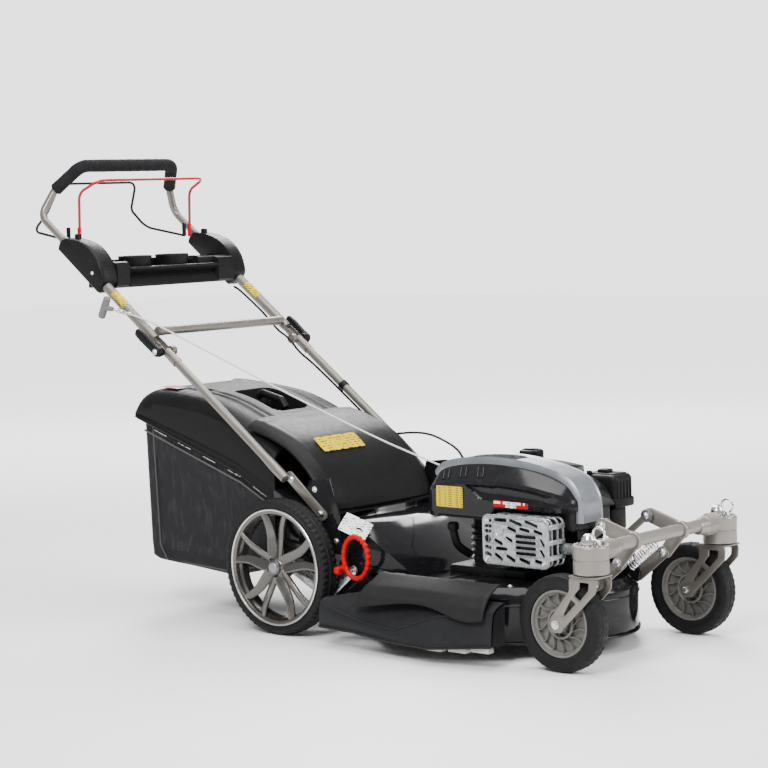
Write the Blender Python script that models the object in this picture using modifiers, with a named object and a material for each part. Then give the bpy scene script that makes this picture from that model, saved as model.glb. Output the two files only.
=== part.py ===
"""Push lawn mower with a steel deck, a vertical-shaft engine, swivel front wheels and a rear bag.

Frame: metres, +X forward, +Y to the operator's left, +Z up. The model is laid out with the rear
axle over x = 0 and the ground at z = 0, then moved so that its footprint is centred on the origin.
"""
import math

import bmesh
import bpy
from mathutils import Matrix, Vector

# ---- Driving dimensions -------------------------------------------------------------------------
GAP = 0.0004                  # air between pieces that touch or run in each other

WHEELBASE = 0.818             # rear axle to front wheel axle, wheels trailing
REAR_TYRE_R = 0.162
REAR_RIM_R = 0.137
REAR_TYRE_W = 0.050
REAR_TRACK = 0.262            # centre plane to the middle of a rear tyre
FRONT_TYRE_R = 0.1065
FRONT_RIM_R = 0.074
FRONT_TYRE_W = 0.044
FORK_SIDE_GAP = 0.0042         # between the tyre and each cheek of its fork
FORK_PLATE = 0.0040
FRONT_TRACK = 0.253           # centre plane to a swivel axis
TRAIL = 0.076                 # swivel axis to front axle
AXLE_R = 0.008
FRONT_AXLE_R = 0.006

CUT_R = 0.255                 # blade tip circle
DECK_R = 0.280                # deck skirt around the blade
NOSE = 0.035                  # how far the deck's nose stands out of that circle
CRANK_X = 0.490
DECK_BOTTOM = 0.035
DECK_TOP = 0.160
SHEET = 0.003                 # pressed steel
PLATE = 0.005                 # brackets, arms and links

HOUSING_HALF = 0.215          # rear housing, half its width
TUNNEL_LEFT = 0.052           # the grass tunnel ends here, the belt runs beyond it
SWING_X, SWING_Z = 0.120, 0.100   # pivot of the rear axle's swing arms
SWING_R = 0.011

HANDLE_Y = 0.239              # centre plane to a handle tube
HANDLE_R = 0.0128             # upper tubes
LOWER_R = 0.0106              # lower tubes, which end inside the upper tubes' channels
BOW_R = 0.0098
FOAM_R = 0.0165
FOLD = (-0.385, 0.663)        # x, z of the handle's fold bolts
SLOPE = 0.762                 # rise of the tubes for each metre backwards
CHANNEL_TAIL = 0.049          # fold bolt to the open end of the upper tube
CHANNEL_HEAD = 0.047          # fold bolt to where the upper tube is round again

LINK_X, LINK_Z = 0.068, 0.056     # front lift links, from deck pivot to beam pivot
UPPER_EYE = (0.812, 0.296)
LOWER_EYE = (0.853, 0.216)
EYE_R = 0.014
LINK_PIN_R = 0.005
HUB_R = 0.039
HUB_BOTTOM, HUB_TOP = 0.219, 0.281
STEM_R = 0.012
BEAM_R = 0.0145
BEAM_Z = 0.268

BLOCK_TOP = 0.286
SHROUD_BOTTOM = 0.295
SHROUD_WALL = 0.004
CRANK_R = 0.0125
BELT_Z = 0.138
CRANK_PULLEY_R = 0.028
BOX_PULLEY_R = 0.036
BOX_X, BOX_Y = 0.078, 0.140   # the gearbox pulley's axis

CAM_Y = 0.270                 # centre plane to a cam lever's pin
BAG_FRONT = -0.066
BAG_BACK = -0.535
BAG_HALF = 0.190
BAG_WALL = 0.004


# ---- Finishes -----------------------------------------------------------------------------------
def finish(name, colour, roughness, metallic=0.0):
    material = bpy.data.materials.new(name)
    material.use_nodes = True
    shader = material.node_tree.nodes["Principled BSDF"]
    shader.inputs["Base Color"].default_value = (*colour, 1.0)
    shader.inputs["Roughness"].default_value = roughness
    shader.inputs["Metallic"].default_value = metallic
    material.diffuse_color = (*colour, 1.0)
    return material


def clear_scene():
    for obj in list(bpy.data.objects):
        bpy.data.objects.remove(obj, do_unlink=True)


clear_scene()
MOWER = bpy.data.collections.new("push_lawn_mower")
bpy.context.scene.collection.children.link(MOWER)

TAUPE = finish("taupe_paint", (0.42, 0.38, 0.34), 0.35, 0.5)
GLOSS_BLACK = finish("gloss_black", (0.012, 0.012, 0.013), 0.15)
BLACK = finish("black_plastic", (0.025, 0.025, 0.027), 0.45)
CHARCOAL = finish("charcoal_plastic", (0.055, 0.056, 0.062), 0.5)
RUBBER = finish("tyre_rubber", (0.02, 0.02, 0.02), 0.7)
FOAM = finish("grip_foam", (0.018, 0.018, 0.018), 0.9)
FABRIC = finish("bag_fabric", (0.03, 0.03, 0.032), 0.95)
GUNMETAL = finish("gunmetal", (0.20, 0.19, 0.18), 0.3, 0.8)
WHEEL_GREY = finish("wheel_grey", (0.30, 0.29, 0.28), 0.5)
STEEL = finish("zinc_steel", (0.60, 0.60, 0.62), 0.3, 1.0)
CAST = finish("cast_aluminium", (0.62, 0.63, 0.64), 0.4, 0.9)
SILVER = finish("silver_plastic", (0.45, 0.46, 0.48), 0.3, 0.4)
RED = finish("red_plastic", (0.75, 0.02, 0.03), 0.35)
CRIMSON = finish("crimson_paint", (0.55, 0.02, 0.05), 0.3)
GRIP_GREY = finish("grip_grey", (0.25, 0.25, 0.26), 0.5)
ROPE = finish("white_rope", (0.8, 0.8, 0.78), 0.8)


# ---- Shape helpers: each gives a mesh object with its place in its points --------------------------
def from_bmesh(bm):
    mesh = bpy.data.meshes.new("shape")
    bm.to_mesh(mesh)
    bm.free()
    obj = bpy.data.objects.new("shape", mesh)
    MOWER.objects.link(obj)
    return obj


def baked(obj):
    """The evaluated mesh of an object, welded, with its place in its points."""
    bpy.context.view_layer.update()
    graph = bpy.context.evaluated_depsgraph_get()
    mesh = bpy.data.meshes.new_from_object(obj.evaluated_get(graph))
    mesh.transform(obj.matrix_world)
    bpy.data.objects.remove(obj, do_unlink=True)
    bm = bmesh.new()
    bm.from_mesh(mesh)
    bpy.data.meshes.remove(mesh)
    bmesh.ops.remove_doubles(bm, verts=bm.verts, dist=1e-5)
    return from_bmesh(bm)


def block(low, high, edge=0.0):
    bm = bmesh.new()
    bmesh.ops.create_cube(bm, size=1.0)
    size = Vector(high) - Vector(low)
    bmesh.ops.scale(bm, vec=size, verts=bm.verts)
    bmesh.ops.translate(bm, vec=(Vector(low) + Vector(high)) / 2, verts=bm.verts)
    if edge:
        bmesh.ops.bevel(bm, geom=bm.edges[:], offset=edge, segments=1, affect="EDGES")
    return from_bmesh(bm)


def rod(start, end, radius, sides=20, end_radius=None):
    start, end = Vector(start), Vector(end)
    along = end - start
    bm = bmesh.new()
    bmesh.ops.create_cone(bm, cap_ends=True, segments=sides, radius1=radius,
                          radius2=radius if end_radius is None else end_radius, depth=along.length)
    turn = Vector((0, 0, 1)).rotation_difference(along).to_matrix().to_4x4()
    bmesh.ops.transform(bm, matrix=Matrix.Translation((start + end) / 2) @ turn, verts=bm.verts)
    return from_bmesh(bm)


def turned(profile, centre, axis="Y", steps=32):
    """Spins a closed (radius, height) outline around an axis through centre."""
    area = sum(a[0] * b[1] - b[0] * a[1] for a, b in zip(profile, profile[1:] + profile[:1]))
    points = profile if area < 0 else profile[::-1]
    mesh = bpy.data.meshes.new("profile")
    count = len(points)
    mesh.from_pydata([(r, 0, h) for r, h in points], [(i, (i + 1) % count) for i in range(count)], [])
    obj = bpy.data.objects.new("profile", mesh)
    MOWER.objects.link(obj)
    screw = obj.modifiers.new("Screw", "SCREW")
    screw.steps = screw.render_steps = steps
    screw.use_merge_vertices = True
    screw.merge_threshold = 0.00001
    if axis == "Y":
        obj.rotation_euler.x = -math.pi / 2
    obj.location = centre
    return baked(obj)


PLANES = {
    "XZ": Matrix(((1, 0, 0, 0), (0, 0, -1, 0), (0, 1, 0, 0), (0, 0, 0, 1))),
    "XY": Matrix.Identity(4),
    "YZ": Matrix(((0, 0, 1, 0), (1, 0, 0, 0), (0, 1, 0, 0), (0, 0, 0, 1))),
}


def prism(outline, low, high, plane="XZ", holes=()):
    """A flat outline in a plane, given its thickness from low to high across that plane."""
    curve = bpy.data.curves.new("outline", "CURVE")
    curve.dimensions = "2D"
    curve.fill_mode = "BOTH"
    curve.extrude = (high - low) / 2
    for points in (outline, *holes):
        spline = curve.splines.new("POLY")
        spline.points.add(len(points) - 1)
        for point, (a, b) in zip(spline.points, points):
            point.co = (a, b, 0, 1)
        spline.use_cyclic_u = True
    obj = bpy.data.objects.new("outline", curve)
    MOWER.objects.link(obj)
    middle = (low + high) / 2
    if isinstance(plane, str):
        across = {"XZ": (0, middle, 0), "XY": (0, 0, middle), "YZ": (middle, 0, 0)}[plane]
        obj.matrix_world = Matrix.Translation(across) @ PLANES[plane]
    else:
        obj.matrix_world = plane @ Matrix.Translation((0, 0, middle))
    return baked(obj)


def wire(points, radius, sides=8):
    """A round bar or cord along its points, as a curve with a bevel and filled ends."""
    curve = bpy.data.curves.new("wire", "CURVE")
    curve.dimensions = "3D"
    curve.bevel_depth = radius
    curve.bevel_resolution = (sides - 4) // 2
    curve.use_fill_caps = True
    spline = curve.splines.new("POLY")
    spline.points.add(len(points) - 1)
    for point, place in zip(spline.points, points):
        point.co = (*place, 1)
    obj = bpy.data.objects.new("wire", curve)
    MOWER.objects.link(obj)
    return obj


def bent(points, radius, steps=4):
    """Straight runs between points, with each corner rounded by an arc of this radius."""
    path = [Vector(points[0])]
    for before, corner, after in zip(points, points[1:], points[2:]):
        corner = Vector(corner)
        back = (Vector(before) - corner).normalized()
        on = (Vector(after) - corner).normalized()
        half = back.angle(on) / 2
        reach = radius / math.tan(half)
        centre = corner + (back + on).normalized() * (radius / math.sin(half))
        first, last = corner + back * reach - centre, corner + on * reach - centre
        sweep = first.angle(last)
        for i in range(steps + 1):
            t = i / steps
            a = math.sin((1 - t) * sweep) / math.sin(sweep)
            b = math.sin(t * sweep) / math.sin(sweep)
            path.append(centre + first * a + last * b)
    return path + [Vector(points[-1])]


def flowing(points, count):
    """A smooth curve through the points: Catmull-Rom, read at count even steps of its parameter."""
    ends = [Vector(p) for p in (points[0], *points, points[-1])]
    runs = len(points) - 1
    path = []
    for i in range(count):
        place = runs * i / (count - 1)
        k = min(int(place), runs - 1)
        t = place - k
        a, b, c, d = ends[k:k + 4]
        path.append(0.5 * (2 * b + (c - a) * t + (2 * a - 5 * b + 4 * c - d) * t * t
                           + (3 * b - a - 3 * c + d) * t ** 3))
    return path


def boolean(base, others, operation):
    for other in others:
        modifier = base.modifiers.new(operation, "BOOLEAN")
        modifier.operation = operation
        modifier.object = other
    result = baked(base)
    for other in others:
        bpy.data.objects.remove(other, do_unlink=True)
    return result


def fused(base, *others):
    return boolean(base, others, "UNION")


def cut(base, *tools):
    return boolean(base, tools, "DIFFERENCE")


def circle(x, z, radius, sides=20):
    turn = 2 * math.pi / sides
    return [(x + radius * math.cos(i * turn), z + radius * math.sin(i * turn)) for i in range(sides)]


def arc(x, z, radius, start, end, steps):
    """Points on an arc in degrees, both ends included."""
    angles = [math.radians(start + (end - start) * i / steps) for i in range(steps + 1)]
    return [(x + radius * math.cos(a), z + radius * math.sin(a)) for a in angles]


def capsule(a, b, radius, steps=6):
    """The outline of a flat bar with round ends around points a and b."""
    heading = math.degrees(math.atan2(b[1] - a[1], b[0] - a[0]))
    return (arc(*a, radius, heading + 90, heading + 270, steps)
            + arc(*b, radius, heading - 90, heading + 90, steps))


def mirrored(side, y_low, y_high):
    """The pair of y limits for the right (-1) or left (+1) side, lowest first."""
    return sorted((side * y_low, side * y_high))


SIDES = {"right": -1, "left": 1}


# ---- Assembly tree --------------------------------------------------------------------------------
def pivot(name, at, parent):
    empty = bpy.data.objects.new(name, None)
    MOWER.objects.link(empty)
    empty.empty_display_size = 0.03
    empty.location = Vector(at) - (parent.matrix_world.translation if parent else Vector())
    empty.parent = parent
    bpy.context.view_layer.update()
    return empty


def node(obj, name, material, carrier):
    """Names a finished piece, gives it its finish, and hangs it on its pivot."""
    obj.name = name
    obj.data.name = name
    obj.data.materials.clear()
    obj.data.materials.append(material)
    if obj.type == "MESH":
        obj.data.shade_smooth()
        obj.data.set_sharp_from_angle(angle=math.radians(32))
    obj.parent = carrier
    obj.matrix_parent_inverse = carrier.matrix_world.inverted()
    return obj


# ---- Deck and rear housing --------------------------------------------------------------------------
def deck_outline(inset):
    """Half circle round the blade with a nose, and a narrower tail between the rear wheels."""
    points = [(0.172 + inset, -HOUSING_HALF + inset), (0.245, -HOUSING_HALF + inset),
              (0.315 - inset * 0.3, -0.272 + inset)]
    for i in range(29):
        angle = math.radians(-98 + 196 * i / 28)
        nose = NOSE * max(0.0, math.cos(angle)) ** 10
        radius = DECK_R + nose - inset
        points.append((CRANK_X + radius * math.cos(angle), radius * math.sin(angle)))
    points += [(x, -y) for x, y in points[2::-1]]
    return points


def deck_solid(inset, low, high, shoulder):
    """Skirt up to the shoulder, then a taper in to the top plate."""
    taper = 0.020
    rings = [(inset, low), (inset, shoulder), (inset + taper, high)]
    bm = bmesh.new()
    loops = [[bm.verts.new((x, y, z)) for x, y in deck_outline(extra)] for extra, z in rings]
    count = len(loops[0])
    for below, above in zip(loops, loops[1:]):
        for i in range(count):
            k = (i + 1) % count
            bm.faces.new((below[i], below[k], above[k], above[i]))
    bm.faces.new(loops[0][::-1])
    bm.faces.new(loops[-1])
    return from_bmesh(bm)


TAIL_FRONT = 0.200            # the tunnel meets the blade chamber here
ROOF_FRONT = 0.378            # front edge of the rear housing, behind the engine's base
FLOOR_CUT = 0.358             # front end of the opening in the deck's top
MOUTH_BACK = -0.060


def build_deck(root):
    shell = deck_solid(0.0, DECK_BOTTOM, DECK_TOP, 0.137)
    inside = deck_solid(SHEET, DECK_BOTTOM - 0.01, DECK_TOP - SHEET, 0.1365)
    shell = cut(
        shell, inside,
        block((TAIL_FRONT + 0.005, -0.205, 0.150), (FLOOR_CUT, 0.205, 0.170)),
        block((0.165, -0.205, 0.062), (0.185, TUNNEL_LEFT, 0.150)),
        block((0.165, 0.060, 0.118), (0.185, 0.205, 0.150)),
        block((0.36, -0.300, 0.046), (0.60, -0.255, 0.130)),
        rod((CRANK_X, 0, 0.140), (CRANK_X, 0, 0.170), 0.033))
    lug = [(-0.2660, 0.148), (-0.2350, 0.148), (-0.2350, 0.1585), (-0.2500, 0.1585),
           (-0.2585, 0.1685), (-0.2660, 0.1685)]
    lugs = [prism(lug, x - 0.006, x + 0.006, "YZ") for x in (0.42, 0.56)]
    shell = fused(shell, *lugs)
    node(shell, "deck_shell", GLOSS_BLACK, root)

    tail = 0.1715             # back wall of the deck, less the gap
    outer = prism([(MOUTH_BACK, 0.200), (0.045, 0.190), (tail, 0.0925), (tail, DECK_TOP + GAP),
                   (ROOF_FRONT, DECK_TOP + GAP), (0.210, 0.262), (0.095, 0.268), (MOUTH_BACK, 0.335)],
                  -HOUSING_HALF, HOUSING_HALF)
    cheeks = [prism([(0.030, 0.180), (0.075, 0.060), (tail, 0.060), (tail, 0.130), (0.060, 0.215)],
                    *mirrored(s, HOUSING_HALF - 0.0045, HOUSING_HALF)) for s in SIDES.values()]
    tunnel = prism([(-0.080, 0.2047), (0.0465, 0.1935), (TAIL_FRONT, 0.0745), (TAIL_FRONT, 0.1575),
                    (ROOF_FRONT - 0.014, 0.1575), (0.209, 0.2585), (0.097, 0.2645),
                    (-0.080, 0.3403)],
                   -HOUSING_HALF + SHEET, TUNNEL_LEFT)
    belt_room = prism([(-0.057, 0.150), (0.040, 0.050), (0.200, 0.050), (0.200, 0.1575),
                       (ROOF_FRONT - 0.014, 0.1575), (0.209, 0.2585), (0.096, 0.2645),
                       (-0.057, 0.3303)],
                      TUNNEL_LEFT + SHEET, HOUSING_HALF - 0.0050)
    housing = fused(outer, *cheeks)
    housing = cut(housing, tunnel, belt_room,
                  rod((SWING_X, -0.3, SWING_Z), (SWING_X, 0.3, SWING_Z), SWING_R + GAP))
    node(housing, "rear_housing", GLOSS_BLACK, root)

    for word, s in SIDES.items():
        low, high = mirrored(s, HOUSING_HALF + GAP, HOUSING_HALF + PLATE)
        plate = prism([(0.020, 0.215), (0.160, 0.200), (0.150, 0.300), (0.125, 0.372), (0.060, 0.365)],
                      low, high)
        plate = fused(plate, rod((0.106, s * 0.2185, 0.286), (0.106, s * 0.2280, 0.286), 0.004))
        node(plate, f"handle_bracket_{word}", GLOSS_BLACK, root)

    stations = ((0.178, 0.300, 0.112, 0.325, 0.100, 0.328, 0.050),
                (0.300, 0.290, 0.135, 0.335, 0.074, 0.340, 0.049),
                (0.420, 0.2845, 0.140, 0.345, 0.064, 0.352, 0.041),
                (0.530, 0.2845, 0.142, 0.335, 0.105, 0.364, 0.041),
                (0.684, 0.2845, 0.142, 0.325, 0.125, 0.335, 0.055))
    bm = bmesh.new()
    rows = [[bm.verts.new((x, -y0, z0)), bm.verts.new((x, -y1, z1)), bm.verts.new((x, -y2, z2))]
            for x, y0, z0, y1, z1, y2, z2 in stations]
    for back, front in zip(rows, rows[1:]):
        for i in range(2):
            bm.faces.new((back[i], back[i + 1], front[i + 1], front[i]))
    inner = bm.verts.new((0.684, -0.2845, 0.060))
    bm.faces.new((rows[-1][0], rows[-1][1], rows[-1][2], inner))
    bmesh.ops.recalc_face_normals(bm, faces=bm.faces)
    chute = from_bmesh(bm)
    wall = chute.modifiers.new("Solidify", "SOLIDIFY")
    wall.thickness = 0.003
    wall.offset = 0.0
    node(baked(chute), "side_chute", CHARCOAL, root)


# ---- Engine ---------------------------------------------------------------------------------------
SHROUD_TOP = [(0.345, 0.385), (0.365, 0.402), (0.430, 0.418), (0.520, 0.4235), (0.610, 0.417),
              (0.680, 0.403), (0.730, 0.380), (0.755, 0.345)]
SHROUD_RIGHT, SHROUD_LEFT = -0.150, 0.100
FILTER_X = 0.645              # the shroud is narrower in front of this, to leave room for the filter
TRIM_RIGHT, TRIM_LEFT = -0.100, -0.015


def shrunk(points, by):
    """The top profile moved inwards, towards a point low in the middle of the engine."""
    middle = Vector((0.55, 0.20))
    moved = []
    for x, z in points:
        away = Vector((x, z)) - middle
        moved.append(tuple(middle + away * (1 - by / away.length)))
    return moved


def shroud_solid(wall):
    plan = [(0.345 + wall, SHROUD_RIGHT + wall), (0.755 - wall, SHROUD_RIGHT + wall),
            (0.755 - wall, 0.042 - wall), (FILTER_X - wall, 0.042 - wall),
            (FILTER_X - wall, SHROUD_LEFT - wall), (0.345 + wall, SHROUD_LEFT - wall)]
    low = SHROUD_BOTTOM - (0.02 if wall else 0.0)
    step = 0.322 - (0.042 if wall else 0.0)
    top = shrunk(SHROUD_TOP, wall)
    side = [(0.345 + wall, low), (0.545, low), (0.545 + 0.001, step), (0.755 - wall, step)] + top[::-1]
    return boolean(prism(plan, 0.25, 0.45, "XY"), [prism(side, -0.2, 0.2)], "INTERSECT")


def build_engine(root):
    block_solid = fused(
        block((0.385, -0.100, DECK_TOP + GAP), (0.600, 0.100, 0.176)),
        rod((CRANK_X, 0, 0.170), (CRANK_X, 0, BLOCK_TOP), 0.088, 32),
        block((0.540, -0.056, 0.188), (0.718, 0.036, 0.278)),
        block((0.700, -0.062, 0.182), (0.722, 0.042, 0.284)))
    block_solid = cut(block_solid,
                      rod((CRANK_X, 0, 0.15), (CRANK_X, 0, 0.30), CRANK_R + GAP, 24))
    node(block_solid, "engine_block", BLACK, root)
    node(cut(shroud_solid(0.0), shroud_solid(SHROUD_WALL)), "engine_shroud", GLOSS_BLACK, root)

    rise = shrunk(SHROUD_TOP, -0.0006)[1:]
    crest = shrunk(SHROUD_TOP, -0.0060)[1:]
    band = rise + [(0.7556, 0.294), (0.7610, 0.294)] + crest[::-1]
    node(prism(band, TRIM_RIGHT, TRIM_LEFT), "engine_trim", SILVER, root)

    tank = block((0.352, SHROUD_LEFT + GAP, 0.300), (0.560, 0.168, 0.398), 0.008)
    node(tank, "fuel_tank", BLACK, root)

    muffler = fused(block((0.566, -0.182, 0.214), (0.724, -0.100, 0.306), 0.008),
                    rod((0.700, -0.128, 0.243), (0.776, -0.128, 0.243), 0.013))
    node(muffler, "muffler", CAST, root)
    guard = cut(block((0.553, -0.192, 0.203), (0.737, -0.125, 0.317), 0.005),
                block((0.557, -0.188, 0.207), (0.733, -0.110, 0.313)),
                rod((0.720, -0.128, 0.243), (0.800, -0.128, 0.243), 0.018),
                *[block((0.590, -0.195, 0.218 + 0.024 * i), (0.705, -0.186, 0.229 + 0.024 * i))
                  for i in range(4)])
    node(guard, "muffler_guard", CAST, root)

    base = block((0.655, 0.0525, 0.256), (0.735, 0.115, 0.3105), 0.003)
    node(base, "air_filter_box", BLACK, root)
    hinge = pivot("air_filter_hinge", (0.700, 0.122, 0.3115), root)
    lid = fused(block((0.650, 0.046, 0.3110), (0.752, 0.121, 0.386), 0.006),
                block((0.665, 0.060, 0.380), (0.705, 0.075, 0.396), 0.002))
    node(lid, "air_filter_lid", BLACK, hinge)

    cap_turn = pivot("fuel_cap_axis", (0.450, 0.136, 0.398), root)
    cap = rod((0.450, 0.136, 0.398 + GAP), (0.450, 0.136, 0.424), 0.029, 24)
    node(cap, "fuel_cap", BLACK, cap_turn)

    crank = pivot("crank_axis", (CRANK_X, 0, 0.2), root)
    groove = CRANK_PULLEY_R + 0.006
    profile = [(0.0, 0.332), (CRANK_R, 0.332), (CRANK_R, BELT_Z + 0.008), (groove, BELT_Z + 0.008),
               (CRANK_PULLEY_R, BELT_Z + 0.004), (CRANK_PULLEY_R, BELT_Z - 0.004),
               (groove, BELT_Z - 0.008), (CRANK_R, BELT_Z - 0.008), (CRANK_R, 0.078),
               (0.030, 0.074), (0.030, 0.0645), (0.006, 0.0645), (0.006, 0.052), (0.0, 0.052)]
    shaft = fused(turned(profile, (CRANK_X, 0, 0), "Z", 24),
                  rod((CRANK_X, 0, 0.046), (CRANK_X, 0, 0.0575), 0.012, 6))
    node(shaft, "crankshaft", STEEL, crank)
    blade = cut(block((CRANK_X - 0.027, -CUT_R, 0.058), (CRANK_X + 0.027, CUT_R, 0.0641)),
                rod((CRANK_X, 0, 0.05), (CRANK_X, 0, 0.07), 0.006 + GAP))
    node(blade, "blade", STEEL, crank)
    flywheel = cut(rod((CRANK_X, 0, 0.290), (CRANK_X, 0, 0.320), 0.084, 32),
                   rod((CRANK_X, 0, 0.28), (CRANK_X, 0, 0.33), CRANK_R + GAP, 24))
    node(flywheel, "flywheel", CAST, crank)


# ---- Rear axle, transmission and rear wheels ------------------------------------------------------
RING_AT = (0.224, 0.198)
RING_Y = 0.2465
LEVER_END = (0.1975, 0.1637)          # where the lever's post enters the ring's band


def rear_wheel(word, s, axle):
    hub = pivot(f"rear_wheel_axis_{word}", (0, s * REAR_TRACK, REAR_TYRE_R), axle)
    centre = (0, s * REAR_TRACK, REAR_TYRE_R)
    half = REAR_TYRE_W / 2
    seat = REAR_RIM_R + GAP
    tyre = turned([(seat, -half * 0.84), (0.150, -half), (0.158, -half * 0.88),
                   (REAR_TYRE_R, -half * 0.5), (REAR_TYRE_R, half * 0.5), (0.158, half * 0.88),
                   (0.150, half), (seat, half * 0.84)], centre, "Y", 36)
    node(tyre, f"rear_tyre_{word}", RUBBER, hub)

    barrel = turned([(REAR_RIM_R, -0.020), (REAR_RIM_R, 0.020), (0.129, 0.020), (0.129, -0.020)],
                    centre, "Y", 36)
    low, high = mirrored(s, REAR_TRACK - 0.014, REAR_TRACK + 0.019)
    parts = [rod((0, low, REAR_TYRE_R), (0, high, REAR_TYRE_R), 0.026, 24)]
    for i in range(5):
        angle = math.radians(90 + 72 * i)
        spoke = block((0.015, -0.013, -0.005), (0.133, 0.013, 0.005))
        spoke.data.transform(Matrix.Translation((0, s * (REAR_TRACK + 0.010), REAR_TYRE_R))
                             @ Matrix.Rotation(-angle, 4, "Y") @ Matrix.Rotation(math.pi / 2, 4, "X"))
        parts.append(spoke)
    rim = cut(fused(barrel, *parts), rod((0, -0.4, REAR_TYRE_R), (0, 0.4, REAR_TYRE_R), AXLE_R + GAP))
    node(rim, f"rear_rim_{word}", GUNMETAL, hub)


def build_rear(root):
    axle = pivot("cut_height_axis", (SWING_X, 0, SWING_Z), root)
    arm_in, arm_out = HOUSING_HALF + 0.0085, HOUSING_HALF + 0.0135
    frame = rod((SWING_X, -arm_in - 0.002, SWING_Z), (SWING_X, arm_in + 0.002, SWING_Z), SWING_R)
    arms = [prism(capsule((0, REAR_TYRE_R), (SWING_X, SWING_Z), 0.018),
                  *mirrored(s, arm_in, arm_out)) for s in SIDES.values()]
    lever = prism(capsule((SWING_X, SWING_Z), LEVER_END, 0.011),
                  *mirrored(-1, arm_in + 0.0005, arm_out - 0.0005))
    lx, lz = LEVER_END
    post = rod((lx, -arm_in - 0.001, lz), (lx, -RING_Y - 0.003, lz), 0.0042, 16)
    frame = cut(fused(frame, *arms, lever, post),
                rod((0, -0.4, REAR_TYRE_R), (0, 0.4, REAR_TYRE_R), AXLE_R + GAP))
    node(frame, "rear_swing_axle", STEEL, axle)

    rx, rz = RING_AT
    ellipse = [(rx + 0.044 * math.cos(a), rz + 0.055 * math.sin(a))
               for a in (2 * math.pi * i / 28 for i in range(28))]
    inside = [(rx + 0.031 * math.cos(a), rz + 0.042 * math.sin(a))
              for a in (2 * math.pi * i / 28 for i in range(28))]
    ring = prism(ellipse, -RING_Y - 0.0065, -RING_Y + 0.0065, "XZ", [inside])
    ring = fused(ring, rod((0.184, -RING_Y - 0.005, 0.170), (0.184, -RING_Y - 0.021, 0.170), 0.009))
    ring = cut(ring, rod((lx, -0.2, lz), (lx, -RING_Y - 0.0035, lz), 0.0042 + GAP, 16))
    node(ring, "height_ring", RED, axle)

    box = fused(
        rod((0, BOX_Y - 0.040, REAR_TYRE_R), (0, BOX_Y + 0.040, REAR_TYRE_R), 0.030, 24),
        block((0.000, BOX_Y - 0.030, 0.088), (0.104, BOX_Y + 0.030, 0.124)),
        block((-0.018, BOX_Y - 0.028, 0.110), (0.028, BOX_Y + 0.028, 0.160)),
        rod((0, -REAR_TRACK - 0.024, REAR_TYRE_R), (0, REAR_TRACK + 0.024, REAR_TYRE_R), AXLE_R),
        rod((BOX_X, BOX_Y, 0.120), (BOX_X, BOX_Y, 0.1485), 0.007))
    node(box, "transmission", CAST, axle)
    drive = pivot("transmission_input_axis", (BOX_X, BOX_Y, BELT_Z), axle)
    grooved = turned([(0.007 + GAP, 0.008), (BOX_PULLEY_R + 0.006, 0.008), (BOX_PULLEY_R, 0.004),
                      (BOX_PULLEY_R, -0.004), (BOX_PULLEY_R + 0.006, -0.008),
                      (0.007 + GAP, -0.008)], (BOX_X, BOX_Y, BELT_Z), "Z")
    node(grooved, "transmission_pulley", STEEL, drive)
    for word, s in SIDES.items():
        rear_wheel(word, s, axle)


def belt_loop(extra):
    """The open-belt outline round both pulleys: two arcs whose ends are the tangent points."""
    run = Vector((CRANK_X - BOX_X, -BOX_Y))
    heading = math.degrees(math.atan2(run.y, run.x))
    small, large = CRANK_PULLEY_R + GAP + extra, BOX_PULLEY_R + GAP + extra
    lean = math.degrees(math.acos((large - small) / run.length))
    return (arc(CRANK_X, 0, small, heading - lean, heading + lean, 12)
            + arc(BOX_X, BOX_Y, large, heading + lean, heading + 360 - lean, 14))


def build_belt(root):
    belt = prism(belt_loop(0.0055), BELT_Z - 0.0034, BELT_Z + 0.0034, "XY", [belt_loop(0.0)])
    node(belt, "drive_belt", RUBBER, root)


# ---- Front beam, links and swivel wheels --------------------------------------------------------------
ARM_IN, ARM_OUT = 0.0880, 0.0980      # beam arms, distance from the centre plane
LINK_IN, LINK_OUT = 0.0795, 0.0850    # lift links
BRACKET_IN, BRACKET_OUT = 0.0650, 0.0700


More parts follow.
